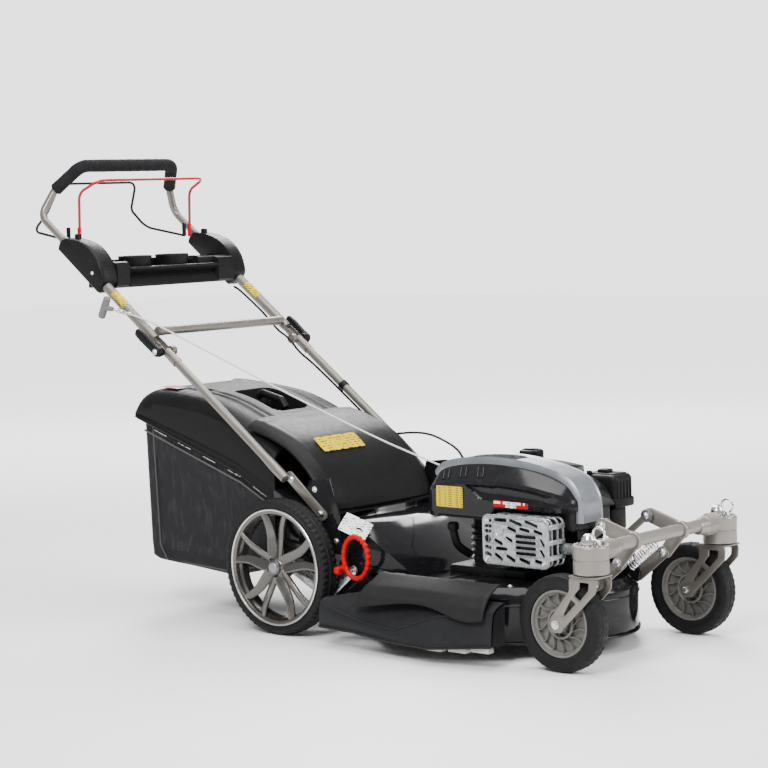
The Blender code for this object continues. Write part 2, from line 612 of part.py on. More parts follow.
def caster(word, s, beam):
    x, y = WHEELBASE + TRAIL, s * FRONT_TRACK
    swivel = pivot(f"caster_axis_{word}", (x, y, HUB_BOTTOM), beam)
    half = FRONT_TYRE_W / 2
    cheek_in = half + FORK_SIDE_GAP
    cheek_out = cheek_in + FORK_PLATE
    cheek = [(x - 0.039, 0.2150), (x + 0.033, 0.2150), (x + 0.030, 0.186), (x - 0.012, 0.150)]
    cheek += arc(WHEELBASE, FRONT_TYRE_R, 0.017, -30, -200, 8) + [(x - 0.039, 0.186)]
    plates = [prism(cheek, y - cheek_out, y - cheek_in), prism(cheek, y + cheek_in, y + cheek_out)]
    bridge_half = cheek_out - 0.0006
    bridge = block((x - 0.040, y - bridge_half, 0.2125), (x + 0.034, y + bridge_half, 0.2165))
    stem = rod((x, y, 0.2140), (x, y, HUB_TOP - 0.012), STEM_R)
    fork = cut(fused(bridge, *plates, stem),
               rod((WHEELBASE, y - 0.05, FRONT_TYRE_R), (WHEELBASE, y + 0.05, FRONT_TYRE_R),
                   FRONT_AXLE_R + GAP))
    node(fork, f"caster_fork_{word}", TAUPE, swivel)
    head_in, head_out = cheek_out + 0.0005, cheek_out + 0.0063
    bolt = fused(rod((WHEELBASE, y - head_out + 0.0005, FRONT_TYRE_R),
                     (WHEELBASE, y + head_out - 0.0005, FRONT_TYRE_R), FRONT_AXLE_R),
                 rod((WHEELBASE, y - head_out, FRONT_TYRE_R), (WHEELBASE, y - head_in, FRONT_TYRE_R),
                     0.010, 6),
                 rod((WHEELBASE, y + head_in, FRONT_TYRE_R), (WHEELBASE, y + head_out, FRONT_TYRE_R),
                     0.010, 6))
    node(bolt, f"caster_axle_{word}", STEEL, swivel)

    spin = pivot(f"front_wheel_axis_{word}", (WHEELBASE, y, FRONT_TYRE_R), swivel)
    seat = FRONT_RIM_R + GAP
    centre = (WHEELBASE, y, FRONT_TYRE_R)
    tyre = turned([(seat, -half * 0.8), (0.092, -half), (0.102, -half * 0.75),
                   (FRONT_TYRE_R, -half * 0.3), (FRONT_TYRE_R, half * 0.3), (0.102, half * 0.75),
                   (0.092, half), (seat, half * 0.8)], centre, "Y", 32)
    node(tyre, f"front_tyre_{word}", RUBBER, spin)
    rim = turned([(FRONT_AXLE_R + GAP, -half), (0.018, -half), (0.018, -0.005), (0.066, -0.005),
                  (0.066, -0.016), (FRONT_RIM_R, -0.016), (FRONT_RIM_R, 0.016), (0.066, 0.016),
                  (0.066, 0.005), (0.018, 0.005), (0.018, half), (FRONT_AXLE_R + GAP, half)],
                 centre, "Y", 32)
    node(rim, f"front_rim_{word}", WHEEL_GREY, spin)

    lock_x = x + 0.021
    slide = pivot(f"swivel_lock_axis_{word}", (lock_x, y, HUB_TOP), beam)
    pull = fused(rod((lock_x, y, HUB_TOP - 0.020), (lock_x, y, HUB_TOP + 0.010), 0.005),
                 turned([(0.010, -0.003), (0.010, 0.003), (0.016, 0.003), (0.016, -0.003)],
                        (lock_x, y, HUB_TOP + 0.023), "Y", 20))
    node(pull, f"swivel_lock_{word}", STEEL, slide)


def build_front(root):
    rear_upper = (UPPER_EYE[0] - LINK_X, UPPER_EYE[1] - LINK_Z)
    rear_lower = (LOWER_EYE[0] - LINK_X, LOWER_EYE[1] - LINK_Z)
    base_z = DECK_TOP + GAP
    side = [(0.690, base_z), (0.765, base_z), (0.768, 0.1625), (0.779, 0.152), (0.793, 0.146),
            (0.799, 0.168), (0.766, 0.256), (0.740, 0.262), (0.715, 0.240)]
    cheeks = [prism(side, *mirrored(s, BRACKET_IN, BRACKET_OUT)) for s in SIDES.values()]
    floor = block((0.690, -BRACKET_IN - 0.001, base_z), (0.757, BRACKET_IN + 0.001, base_z + 0.004))
    brow = block((0.752, -BRACKET_IN - 0.001, 0.222), (0.774, BRACKET_IN + 0.001, 0.227))
    pins = [rod((rear_lower[0], s * (BRACKET_OUT - 0.002), rear_lower[1]),
                (rear_lower[0], s * (LINK_OUT + 0.001), rear_lower[1]), LINK_PIN_R)
            for s in SIDES.values()]
    bracket = cut(fused(floor, *cheeks, brow, *pins),
                  rod((rear_upper[0], -0.1, rear_upper[1]), (rear_upper[0], 0.1, rear_upper[1]),
                      0.008 + GAP))
    node(bracket, "front_bracket", GLOSS_BLACK, root)

    upper = pivot("upper_link_axis", (rear_upper[0], 0, rear_upper[1]), root)
    middle = (LINK_IN + LINK_OUT) / 2
    arm = ARM_IN - 0.0085
    loop = baked(wire(bent([(UPPER_EYE[0] - 0.006, -arm, UPPER_EYE[1] - 0.005),
                            (rear_upper[0], -arm, rear_upper[1]),
                            (rear_upper[0], arm, rear_upper[1]),
                            (UPPER_EYE[0] - 0.006, arm, UPPER_EYE[1] - 0.005)], 0.010), 0.0078))
    eyes = [rod((UPPER_EYE[0], s * (arm - 0.0040), UPPER_EYE[1]),
                (UPPER_EYE[0], s * (arm + 0.0040), UPPER_EYE[1]), EYE_R, 20) for s in (-1, 1)]
    loop = cut(fused(loop, *eyes), rod((UPPER_EYE[0], -0.2, UPPER_EYE[1]),
                                       (UPPER_EYE[0], 0.2, UPPER_EYE[1]), LINK_PIN_R + GAP))
    node(loop, "upper_link", TAUPE, upper)

    for word, s in SIDES.items():
        lower = pivot(f"lower_link_axis_{word}", (rear_lower[0], s * middle, rear_lower[1]), root)
        link = prism(capsule(rear_lower, LOWER_EYE, EYE_R), *mirrored(s, LINK_IN, LINK_OUT), "XZ",
                     [circle(*rear_lower, LINK_PIN_R + GAP), circle(*LOWER_EYE, LINK_PIN_R + GAP)])
        node(link, f"lower_link_{word}", TAUPE, lower)

    beam_axis = pivot("front_beam_axis", (UPPER_EYE[0], 0, UPPER_EYE[1]), upper)
    x = WHEELBASE + TRAIL
    parts = [rod((x, -FRONT_TRACK + 0.02, BEAM_Z), (x, FRONT_TRACK - 0.02, BEAM_Z), BEAM_R, 20)]
    bores = []
    for s in (-1, 1):
        y = s * FRONT_TRACK
        parts.append(rod((x, y, HUB_BOTTOM), (x, y, HUB_TOP), HUB_R, 28))
        parts.append(rod((x, y - s * 0.095, BEAM_Z - 0.004), (x, y - s * 0.025, BEAM_Z - 0.004),
                         0.0200, 20))
        parts.append(prism(capsule((x, BEAM_Z), UPPER_EYE, 0.0165), *mirrored(s, ARM_IN, ARM_OUT)))
        parts.append(prism(capsule((x, BEAM_Z), LOWER_EYE, EYE_R),
                           *mirrored(s, ARM_IN + 0.0005, ARM_OUT - 0.0005)))
        parts += [rod((ex, s * (ARM_IN + 0.003), ez), (ex, s * (LINK_IN - 0.001), ez), LINK_PIN_R, 18)
                  for ex, ez in (UPPER_EYE, LOWER_EYE)]
        bores.append(rod((x, y, HUB_BOTTOM - 0.01), (x, y, HUB_TOP - 0.010), STEM_R + GAP))
        bores.append(rod((x + 0.021, y, HUB_TOP - 0.022), (x + 0.021, y, HUB_TOP + 0.01),
                         0.005 + GAP))
    node(cut(fused(*parts), *bores), "front_beam", TAUPE, beam_axis)

    spring = rod((0.800, 0.030, 0.188), (0.868, 0.030, 0.246), 0.0125, 16)
    node(spring, "lift_spring", STEEL, root)
    for word, s in SIDES.items():
        caster(word, s, beam_axis)


# ---- Handle -----------------------------------------------------------------------------------------
UP = Vector((-1.0, 0.0, SLOPE)).normalized()          # along the tubes, towards the operator
FACE = Vector((SLOPE, 0.0, 1.0)).normalized()         # out of the tubes' upper side


def on_tube(distance, side, lift=0.0, out=0.0):
    """A point measured along a handle tube from its fold bolt."""
    place = Vector((FOLD[0], side * (HANDLE_Y + out), FOLD[1]))
    return place + UP * distance + FACE * lift


def axes(x, y, z):
    """The rotation whose axes are the three unit vectors."""
    return Matrix((x, y, z)).transposed().to_4x4()


def bow_path(side):
    return [on_tube(0.430, side), on_tube(0.560, side), (-0.812, side * 0.206, 1.066),
            (-0.754, side * 0.163, 1.128)]


def upper_tube(side):
    return wire([on_tube(CHANNEL_HEAD, side), on_tube(0.455, side)], HANDLE_R, 12)


def tube_channel(side):
    """The open end of an upper tube: a trough that the lower tube lies in and folds out of."""
    steps = 10
    outside, inside = HANDLE_R - 0.0005, LOWER_R + GAP
    outline = (arc(0, 0, outside, 180, 360, steps) + [(outside, 0.007), (inside, 0.007)]
               + arc(0, 0, inside, 360, 180, steps) + [(-inside, 0.007), (-outside, 0.007)])
    frame = Matrix.Translation(on_tube(0.0, side)) @ axes(FACE.cross(UP), FACE, UP)
    return prism(outline, -CHANNEL_TAIL, CHANNEL_HEAD + 0.010, frame)


def build_handle(root):
    for word, s in SIDES.items():
        tube = baked(wire([on_tube(0.0, s), on_tube(-0.470, s)], LOWER_R, 12))
        eye = rod((FOLD[0], s * (HANDLE_Y - 0.006), FOLD[1]),
                  (FOLD[0], s * (HANDLE_Y + 0.006), FOLD[1]), 0.83 * LOWER_R, 16)
        flat = prism(capsule((0.004, 0.372), (0.106, 0.286), 0.0125),
                     *mirrored(s, HANDLE_Y - 0.0178, HANDLE_Y - 0.0118))
        pad = rod(on_tube(-0.440, s), on_tube(-0.487, s), 0.0125)
        joined = cut(fused(pad, tube, eye, flat),
                     rod((FOLD[0], s * 0.2, FOLD[1]), (FOLD[0], s * 0.28, FOLD[1]), 0.004 + GAP),
                     rod((0.106, s * 0.2, 0.286), (0.106, s * 0.25, 0.286), 0.004 + GAP))
        node(joined, f"lower_handle_{word}", TAUPE, root)

    fold = pivot("handle_fold_axis", (FOLD[0], 0, FOLD[1]), root)
    pieces = []
    for s in (-1, 1):
        pieces += [baked(upper_tube(s)), tube_channel(s)]
        pieces.append(rod((FOLD[0], s * (HANDLE_Y + 0.0165), FOLD[1]),
                          (FOLD[0], s * (HANDLE_Y - 0.0225), FOLD[1]), 0.004))
        pieces.append(rod((FOLD[0], s * (HANDLE_Y - 0.0118), FOLD[1]),
                          (FOLD[0], s * (HANDLE_Y - 0.0265), FOLD[1]), 0.012, 12))
    right, left = bow_path(-1), bow_path(1)
    bow = baked(wire(bent([*right, *left[::-1]], 0.035), BOW_R, 10))
    node(fused(bow, *pieces), "upper_handle", TAUPE, fold)

    brace_x, brace_z = -0.430, 0.710
    reach = HANDLE_Y - HANDLE_R - GAP
    brace = fused(rod((brace_x, -reach + 0.03, brace_z), (brace_x, reach - 0.03, brace_z), 0.011),
                  block((brace_x - 0.012, -reach, brace_z - 0.003),
                        (brace_x + 0.012, reach, brace_z + 0.003)))
    node(brace, "handle_brace", TAUPE, fold)

    foam_path = bent([bow_path(-1)[2], bow_path(-1)[3], bow_path(1)[3], bow_path(1)[2]], 0.035)
    lead = (foam_path[0] - foam_path[1]).normalized() * 0.0
    foam_path[0] += lead
    foam = baked(wire(foam_path, FOAM_R, 12))
    bore_path = bent([*right, *left[::-1]], 0.035)
    foam = cut(foam, baked(wire(bore_path, BOW_R + GAP, 10)))
    node(foam, "grip_foam", FOAM, fold)
    build_console(fold)
    build_controls(fold)


def build_console(fold):
    low, high = 0.815, 0.884
    tray = block((-0.690, -0.2115, low), (-0.580, 0.2115, high), 0.003)
    covers = []
    for s in (-1, 1):
        cheek = [tuple(on_tube(d, s, lift)[k] for k in (0, 2)) for d, lift in (
            (0.262, -0.022), (0.262, 0.020), (0.300, 0.048), (0.345, 0.056), (0.390, 0.046),
            (0.440, 0.018), (0.448, -0.020))]
        covers.append(prism(cheek, *mirrored(s, 0.2105, 0.2600)))
    cups = [rod((-0.641, y, low + 0.008), (-0.641, y, high + 0.02), 0.036, 24) for y in (-0.092, 0.040)]
    pocket = block((-0.598, -0.165, low + 0.006), (-0.560, 0.150, low + 0.045))
    hollows = [block((-0.686, a, low - 0.01), (-0.603, b, high - 0.004))
               for a, b in ((-0.203, -0.134), (-0.050, -0.002), (0.082, 0.203))]
    tubes = []
    for s in (-1, 1):
        tubes.append(rod(on_tube(0.20, s), on_tube(0.456, s), HANDLE_R + GAP, 16))
        tubes.append(rod(on_tube(0.40, s), on_tube(0.56, s), BOW_R + GAP, 16))
    console = cut(fused(tray, *covers), *cups, pocket, *hollows, *tubes)
    node(console, "console", BLACK, fold)


BRAKE_AXIS = (-0.731, 0.936)
DRIVE_AXIS = (-0.762, 0.937)


def build_controls(fold):
    brake = pivot("brake_bail_axis", (BRAKE_AXIS[0], 0, BRAKE_AXIS[1]), fold)
    leg = [(BRAKE_AXIS[0], 0.198, BRAKE_AXIS[1]), (-0.727, 0.198, 1.058), (-0.661, 0.190, 1.089)]
    route = [(x, -y, z) for x, y, z in leg] + leg[::-1]
    node(wire(bent(route, 0.012, 3), 0.0035), "brake_bail", CRIMSON, brake)

    drive = pivot("drive_bail_axis", (DRIVE_AXIS[0], 0, DRIVE_AXIS[1]), fold)
    leg = [(DRIVE_AXIS[0], 0.208, DRIVE_AXIS[1]), (-0.905, 0.201, 0.962), (-0.906, 0.150, 1.010),
           (-0.868, 0.136, 1.084)]
    route = [(x, -y, z) for x, y, z in leg] + leg[::-1]
    node(wire(bent(route, 0.012, 3), 0.0033), "drive_bail", BLACK, drive)

    for word, s in SIDES.items():
        cam = pivot(f"cam_lever_axis_{word}", (FOLD[0], s * CAM_Y, FOLD[1]), fold)
        frame = Matrix.Translation((FOLD[0], s * CAM_Y, FOLD[1])) @ axes(UP.cross(FACE), UP, FACE)
        outline = (arc(0, 0, 0.0095, 180, 360, 8)
                   + [(0.0095, 0.030), (0.0075, 0.080), (-0.0060, 0.084), (-0.0090, 0.040)])
        if s > 0:
            outline = [(-a, b) for a, b in outline][::-1]
        node(prism(outline, -0.0100, 0.0100, frame), f"cam_lever_{word}", BLACK, cam)

    pull = pivot("starter_grip_axis", GRIP_AT, fold)
    stem_end = Vector(GRIP_AT) + Vector((-0.030, 0.0, 0.004))
    bar = Vector((0.45, 0.0, 0.89)).normalized() * 0.030
    handle = fused(rod(stem_end - bar, stem_end + bar, 0.0095, 12),
                   rod(GRIP_AT, stem_end, 0.0075, 12))
    node(handle, "starter_grip", GRIP_GREY, pull)
    upper = [on_tube(0.262, 1, -0.030, 0.000), on_tube(0.235, 1, -0.027, 0.004),
             on_tube(0.150, 1, -0.024, 0.004), on_tube(0.085, 1, -0.021, -0.006),
             on_tube(0.045, 1, -0.010, -0.024), on_tube(0.014, 1, 0.0, -0.034),
             on_tube(2 * GAP, 1, 0.0, -0.034)]
    node(wire(flowing(upper, 22), 0.0030, 6), "control_cable_upper", BLACK, fold)


GRIP_AT = (-0.535, -0.273, 0.766)


def build_cords(root):
    rope = [(-0.5340, -0.2725, 0.7655), (-0.500, -0.258, 0.7555), (-0.430, -0.236, 0.7300),
            (-0.300, -0.2000, 0.6680), (-0.150, -0.1600, 0.5960), (0.020, -0.1170, 0.5180),
            (0.180, -0.0790, 0.4490), (0.3440, -0.0420, 0.3880)]
    node(wire(flowing(rope, 44), 0.0020, 6), "starter_rope", ROPE, root)
    cable = [on_tube(-2 * GAP, 1, 0.0, -0.034), on_tube(-0.014, 1, 0.0, -0.034),
             on_tube(-0.045, 1, -0.010, -0.024), on_tube(-0.090, 1, -0.018, -0.004),
             on_tube(-0.180, 1, -0.018, 0.000), on_tube(-0.300, 1, -0.018, 0.000),
             (-0.100, 0.219, 0.428), (0.030, 0.203, 0.436), (0.110, 0.165, 0.440),
             (0.200, 0.110, 0.436), (0.290, 0.060, 0.418), (0.3420, 0.035, 0.372)]
    node(wire(flowing(cable, 48), 0.0030, 6), "control_cable_lower", BLACK, root)


# ---- Bag and flaps --------------------------------------------------------------------------------
LID_EDGE = [(BAG_BACK, 0.489), (-0.194, 0.372), (BAG_FRONT, 0.306)]
FLAP_AXIS = (0.097, 0.283)


def build_bag(root):
    bag = pivot("bag_slide_axis", (BAG_FRONT, 0, 0.3), root)
    under = [(x, z - GAP) for x, z in LID_EDGE]
    side = [(BAG_BACK, 0.133), (-0.500, 0.120), (-0.248, 0.101), (-0.120, 0.130),
            (BAG_FRONT, 0.212)] + under[::-1]
    sack = prism(side, -BAG_HALF, BAG_HALF)
    room = prism([(BAG_BACK + BAG_WALL, 0.139), (-0.500, 0.126), (-0.248, 0.107), (-0.120, 0.137),
                  (BAG_FRONT + 0.020, 0.236), (BAG_FRONT + 0.020, 0.400), (BAG_BACK + BAG_WALL, 0.600)],
                 -BAG_HALF + BAG_WALL, BAG_HALF - BAG_WALL)
    node(cut(sack, room), "bag_sack", FABRIC, bag)

    crown = [(-0.546, 0.535), (-0.530, 0.552), (-0.490, 0.560), (-0.387, 0.553), (-0.266, 0.532),
             (-0.131, 0.478), (BAG_FRONT, 0.440)]
    lid = fused(prism(LID_EDGE + crown[::-1], -0.170, 0.170),
                prism(LID_EDGE + [(x, z - 0.035) for x, z in crown[::-1]], -0.203, 0.203))
    middle = Vector((-0.300, 0.400))
    under = [tuple(middle + (Vector(point) - middle) * 0.972) for point in crown]
    foot = [(BAG_BACK + BAG_WALL, 0.400)]
    toe = [(BAG_FRONT - BAG_WALL, 0.280)]
    hollow = fused(prism(foot + under + toe, -0.164, 0.164),
                   prism(foot + [(x, z - 0.035) for x, z in under] + toe, -0.184, 0.184))
    hollow = cut(hollow, block((-0.334, -0.064, 0.466), (-0.186, 0.064, 0.600)))
    grip = block((-0.330, -0.060, 0.470), (-0.190, 0.060, 0.580))
    node(cut(lid, hollow, grip), "bag_lid", BLACK, bag)

    hinge = pivot("rear_flap_axis", (FLAP_AXIS[0], 0, FLAP_AXIS[1]), root)
    crest = [(0.108, 0.280), (0.104, 0.310), (0.080, 0.362), (0.040, 0.410), (-0.015, 0.452),
             (-0.085, 0.482), (-0.150, 0.500)]
    inner = [(x - 0.0035, z - 0.0055) for x, z in crest]
    flap = prism(crest + inner[::-1], -0.2000, 0.2000)
    skirt = [(x - 0.0015, z - 0.0025) for x, z in crest[:6]] + [
        (-0.057, 0.448), (0.020, 0.360), (0.060, 0.302), (0.080, 0.281)]
    walls = [prism(skirt, *mirrored(s, 0.196, 0.1995)) for s in (-1, 1)]
    node(fused(flap, *walls), "rear_flap", CHARCOAL, hinge)

    side_hinge = pivot("side_flap_axis", (0.46, -0.262, 0.170), root)
    cover = prism([(-0.2575, 0.1745), (-0.2625, 0.1780), (-0.3150, 0.1545), (-0.3350, 0.1330),
                   (-0.3310, 0.1320), (-0.3130, 0.1505), (-0.2630, 0.1700)], 0.315, 0.660, "YZ")
    node(cover, "side_flap", CHARCOAL, side_hinge)


def centre_on_footprint(root):
    """Moves the whole mower so that its footprint is centred over the origin, on the ground."""
    bpy.context.view_layer.update()
    graph = bpy.context.evaluated_depsgraph_get()
    low, high = Vector((9, 9, 9)), Vector((-9, -9, -9))
    for obj in MOWER.objects:
        if obj.type == "EMPTY":
            continue
        shape = obj.evaluated_get(graph)
        for vertex in shape.to_mesh().vertices:
            place = shape.matrix_world @ vertex.co
            low = Vector(map(min, low, place))
            high = Vector(map(max, high, place))
        shape.to_mesh_clear()
    root.location = (-(low.x + high.x) / 2, -(low.y + high.y) / 2, -low.z)


def build():
    root = pivot("mower", (0, 0, 0), None)
    build_deck(root)
    build_engine(root)
    build_rear(root)
    build_belt(root)
    build_front(root)
    build_handle(root)
    build_cords(root)
    build_bag(root)
    centre_on_footprint(root)


build()
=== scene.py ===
"""Finishes and finer shapes for a walk-behind mower with a rear bag and swivel front wheels.

The frame gives every body's place. Shapes are worked out in mower coordinates: the rear axle over
x = 0, the centre plane at y = 0 and the ground at z = 0; surface() moves them into the frame.
"""
import math

import bmesh
import bpy
import numpy as np
from mathutils import Matrix, Vector


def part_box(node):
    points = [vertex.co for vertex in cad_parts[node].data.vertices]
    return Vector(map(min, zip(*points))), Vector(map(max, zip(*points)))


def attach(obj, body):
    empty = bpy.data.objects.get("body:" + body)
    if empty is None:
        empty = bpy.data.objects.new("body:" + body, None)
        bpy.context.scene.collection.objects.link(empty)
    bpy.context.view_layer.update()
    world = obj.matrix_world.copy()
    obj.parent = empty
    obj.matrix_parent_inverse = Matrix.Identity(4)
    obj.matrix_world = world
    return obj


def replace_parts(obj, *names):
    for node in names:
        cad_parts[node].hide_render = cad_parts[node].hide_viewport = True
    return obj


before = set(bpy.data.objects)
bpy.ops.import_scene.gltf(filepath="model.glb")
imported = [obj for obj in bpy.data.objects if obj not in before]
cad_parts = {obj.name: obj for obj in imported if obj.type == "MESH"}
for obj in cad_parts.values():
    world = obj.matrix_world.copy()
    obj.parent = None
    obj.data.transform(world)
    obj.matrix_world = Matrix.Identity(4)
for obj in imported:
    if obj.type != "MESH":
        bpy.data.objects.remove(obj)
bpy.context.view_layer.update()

TYRE_BOXES = [np.array(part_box(f"rear_tyre_{word}")) for word in ("right", "left")]
ORIGIN = np.mean([corners.mean(axis=0) for corners in TYRE_BOXES], axis=0) * (1, 1, 0)
SIDES = {"right": -1, "left": 1}
WHEELBASE, TRACK = 0.818, 0.253
REAR_RADIUS, FRONT_RADIUS = 0.162, 0.1065


# ---- Materials ------------------------------------------------------------------------------------
class Value:
    """A socket in a finish's node tree; sums on it add Math nodes."""

    def __init__(self, finish, socket):
        self.finish = finish
        self.socket = socket

    def _math(self, operation, *terms):
        return self.finish.node("Math", {"operation": operation}, *terms)

    def __add__(self, other):
        return self._math("ADD", self, other)

    def __sub__(self, other):
        return self._math("SUBTRACT", self, other)

    def __rsub__(self, other):
        return self._math("SUBTRACT", other, self)

    def __mul__(self, other):
        return self._math("MULTIPLY", self, other)

    __radd__ = __add__
    __rmul__ = __mul__

    def over(self, level):
        return self._math("GREATER_THAN", self, level)

    def power(self, exponent):
        return self._math("POWER", self, exponent)

    def wave(self):
        return self._math("SINE", self)

    def size(self):
        return self._math("ABSOLUTE", self)


class Finish:
    """A Principled material. Constants sit on the shader's sockets; patterns are linked to them."""

    def __init__(self, name, colour, roughness, metallic=0.0, **constants):
        self.material = bpy.data.materials.new(name)
        self.material.use_nodes = True
        self.tree = self.material.node_tree
        self.shader = self.tree.nodes["Principled BSDF"]
        self.colour = (*colour, 1.0)
        self.set("Base Color", self.colour)
        self.set("Roughness", roughness)
        self.set("Metallic", metallic)
        for label, constant in constants.items():
            self.set(label.replace("_", " "), constant)
        self.material.diffuse_color = self.colour
        self.point = self.node("TexCoord", {}, out="Object")

    def feed(self, socket, value):
        if isinstance(value, Value):
            self.tree.links.new(value.socket, socket)
        else:
            socket.default_value = value

    def set(self, label, value):
        self.feed(self.shader.inputs[label], value)

    def node(self, kind, settings, *values, out=0, **named):
        """Adds a node: its settings first, then its inputs in order or by label."""
        node = self.tree.nodes.new("ShaderNode" + kind)
        for key, setting in settings.items():
            if key == "stops":
                ramp = node.color_ramp.elements
                while len(ramp) < len(setting):
                    ramp.new(0.5)
                for stop, (place, colour) in zip(ramp, setting):
                    stop.position, stop.color = place, (*colour, 1.0)
            else:
                setattr(node, key, setting)
        for socket, value in zip(node.inputs, values):
            self.feed(socket, value)
        for label, value in named.items():
            self.feed(node.inputs[label.replace("_", " ")], value)
        return Value(self, node.outputs[out])

    def mapped(self, scale=(1, 1, 1), turn=(0, 0, 0), shift=(0, 0, 0)):
        return self.node("Mapping", {}, self.point, Scale=scale, Rotation=turn, Location=shift)

    def noise(self, scale, detail=3.0, at=None):
        return self.node("TexNoise", {}, Vector=at or self.point, Scale=scale, Detail=detail)

    def cells(self, scale, at=None, feature="F1"):
        return self.node("TexVoronoi", {"feature": feature}, Vector=at or self.point, Scale=scale)

    def bands(self, scale, at=None, direction="X", profile="SIN"):
        settings = {"bands_direction": direction, "wave_profile": profile}
        return self.node("TexWave", settings, Vector=at or self.point, Scale=scale)

    def spread(self, value, low, high, start=0.0, end=1.0):
        """The value from start to end mapped onto low to high, and held outside."""
        return self.node("MapRange", {"interpolation_type": "SMOOTHSTEP"}, value, start, end, low, high)

    def blend(self, factor, first, second):
        node = self.node("Mix", {"data_type": "RGBA"}, factor, out=2)
        ends = node.socket.node.inputs
        self.feed(ends[6], first if isinstance(first, Value) else (*first[:3], 1.0))
        self.feed(ends[7], second if isinstance(second, Value) else (*second[:3], 1.0))
        return node

    def axis(self, label, at=None):
        return self.node("SeparateXYZ", {}, at or self.point, out=label)

    def relief(self, height, strength, distance):
        """Turns a height pattern into bumps."""
        bump = self.node("Bump", {}, Strength=strength, Distance=distance, Height=height)
        self.set("Normal", bump)
        return self

    def tint(self, factor, other):
        self.set("Base Color", self.blend(factor, self.colour, other))
        return self


def satin_paint(name, colour, metallic=0.55):
    """Metallic satin coat: fine flake in the colour, slight orange peel, handling marks."""
    coat = Finish(name, colour, 0.36, metallic)
    flake = coat.cells(2600.0)
    smudge = coat.noise(14.0, 5.0)
    coat.tint(coat.spread(flake, 0.0, 0.34, 0.15, 0.75), [c * 1.55 for c in colour])
    coat.set("Roughness", coat.spread(smudge, 0.28, 0.46, 0.35, 0.68))
    return coat.relief(coat.noise(420.0, 2.0), 0.10, 0.0004)


def gloss_paint(name, colour):
    """Deep gloss enamel under lacquer, with faint dust and a soft ripple."""
    coat = Finish(name, colour, 0.10, 0.0, Specular_IOR_Level=0.22)
    dust = coat.noise(60.0, 8.0)
    coat.tint(coat.spread(dust, 0.0, 0.02, 0.52, 0.8), (0.35, 0.34, 0.32))
    coat.set("Roughness", coat.spread(coat.noise(9.0, 4.0), 0.07, 0.15, 0.35, 0.7))
    return coat.relief(coat.noise(120.0, 2.0), 0.06, 0.0005)


def moulded(name, colour, roughness=0.48, grain=900.0, depth=0.22):
    """Moulded plastic with a leathery spark-eroded grain and scuffed high spots."""
    skin = Finish(name, colour, roughness)
    pits = skin.cells(grain)
    cloud = skin.noise(70.0, 6.0)
    skin.tint(skin.spread(cloud, 0.0, 0.12, 0.45, 0.75), [min(1.0, c * 1.9 + 0.006) for c in colour])
    skin.set("Roughness", skin.spread(cloud, roughness - 0.03, roughness + 0.05, 0.3, 0.7))
    skin.set("Specular IOR Level", 0.11)
    return skin.relief(pits + skin.noise(grain * 0.4, 2.0) * 0.6, depth, 0.0003)


def rubber_skin():
    """Tyre rubber: near black, dusty in the low places, with mould flow lines."""
    skin = Finish("tyre_rubber", (0.0055, 0.0055, 0.006), 0.60, Specular_IOR_Level=0.18)
    dust = skin.noise(35.0, 7.0)
    skin.tint(skin.spread(dust, 0.0, 0.25, 0.45, 0.8), (0.026, 0.025, 0.024))
    skin.set("Roughness", skin.spread(dust, 0.5, 0.8, 0.3, 0.7))
    return skin.relief(skin.noise(700.0, 3.0), 0.25, 0.0004)


def foam_skin():
    """Closed-cell foam: tiny open pores all over."""
    skin = Finish("grip_foam", (0.007, 0.007, 0.008), 0.88, Specular_IOR_Level=0.15)
    pores = skin.cells(1100.0)
    skin.tint(skin.spread(skin.noise(40.0, 4.0), 0.0, 0.5, 0.4, 0.8), (0.018, 0.018, 0.019))
    return skin.relief(pores + skin.noise(260.0, 4.0), 0.55, 0.0006)


def mesh_cloth():
    """Open polyester mesh: fine crossing threads over dark gaps, mottled where it is doubled."""
    cloth = Finish("bag_mesh", (0.012, 0.012, 0.0135), 0.85, Specular_IOR_Level=0.2)
    threads = cloth.cells(900.0) + cloth.noise(520.0, 3.0)
    mottle = cloth.noise(95.0, 6.0, cloth.mapped((1.0, 1.0, 0.22)))
    cloth.tint(cloth.spread(mottle, 0.0, 0.80, 0.42, 0.74), (0.030, 0.030, 0.033))
    cloth.set("Roughness", cloth.spread(mottle, 0.76, 0.94, 0.3, 0.7))
    return cloth.relief(threads + mottle * 2.0, 0.6, 0.0010)


def plain_cloth():
    """Coated woven fabric, smoother than the mesh, with a fine rib."""
    cloth = Finish("bag_cloth", (0.006, 0.006, 0.007), 0.72, Specular_IOR_Level=0.25)
    rib = (cloth.axis("Z") * 3200.0).wave() + (cloth.axis("Y") * 3200.0).wave()
    cloth.tint(cloth.spread(cloth.noise(25.0, 6.0), 0.0, 0.5, 0.4, 0.8), (0.016, 0.016, 0.018))
    return cloth.relief(rib * 0.4 + cloth.noise(40.0, 4.0), 0.35, 0.0007)


def wheel_paint():
    """Gunmetal lacquer on the rear wheels: dense bright flake under a clear coat."""
    coat = Finish("gunmetal", (0.052, 0.049, 0.046), 0.28, 0.85, Coat_Weight=0.4, Coat_Roughness=0.08)
    coat.tint(coat.spread(coat.cells(1900.0), 0.0, 0.5, 0.1, 0.8), (0.22, 0.205, 0.19))
    coat.set("Roughness", coat.spread(coat.noise(25.0, 4.0), 0.22, 0.40, 0.35, 0.7))
    return coat.relief(coat.noise(300.0, 2.0), 0.08, 0.0004)


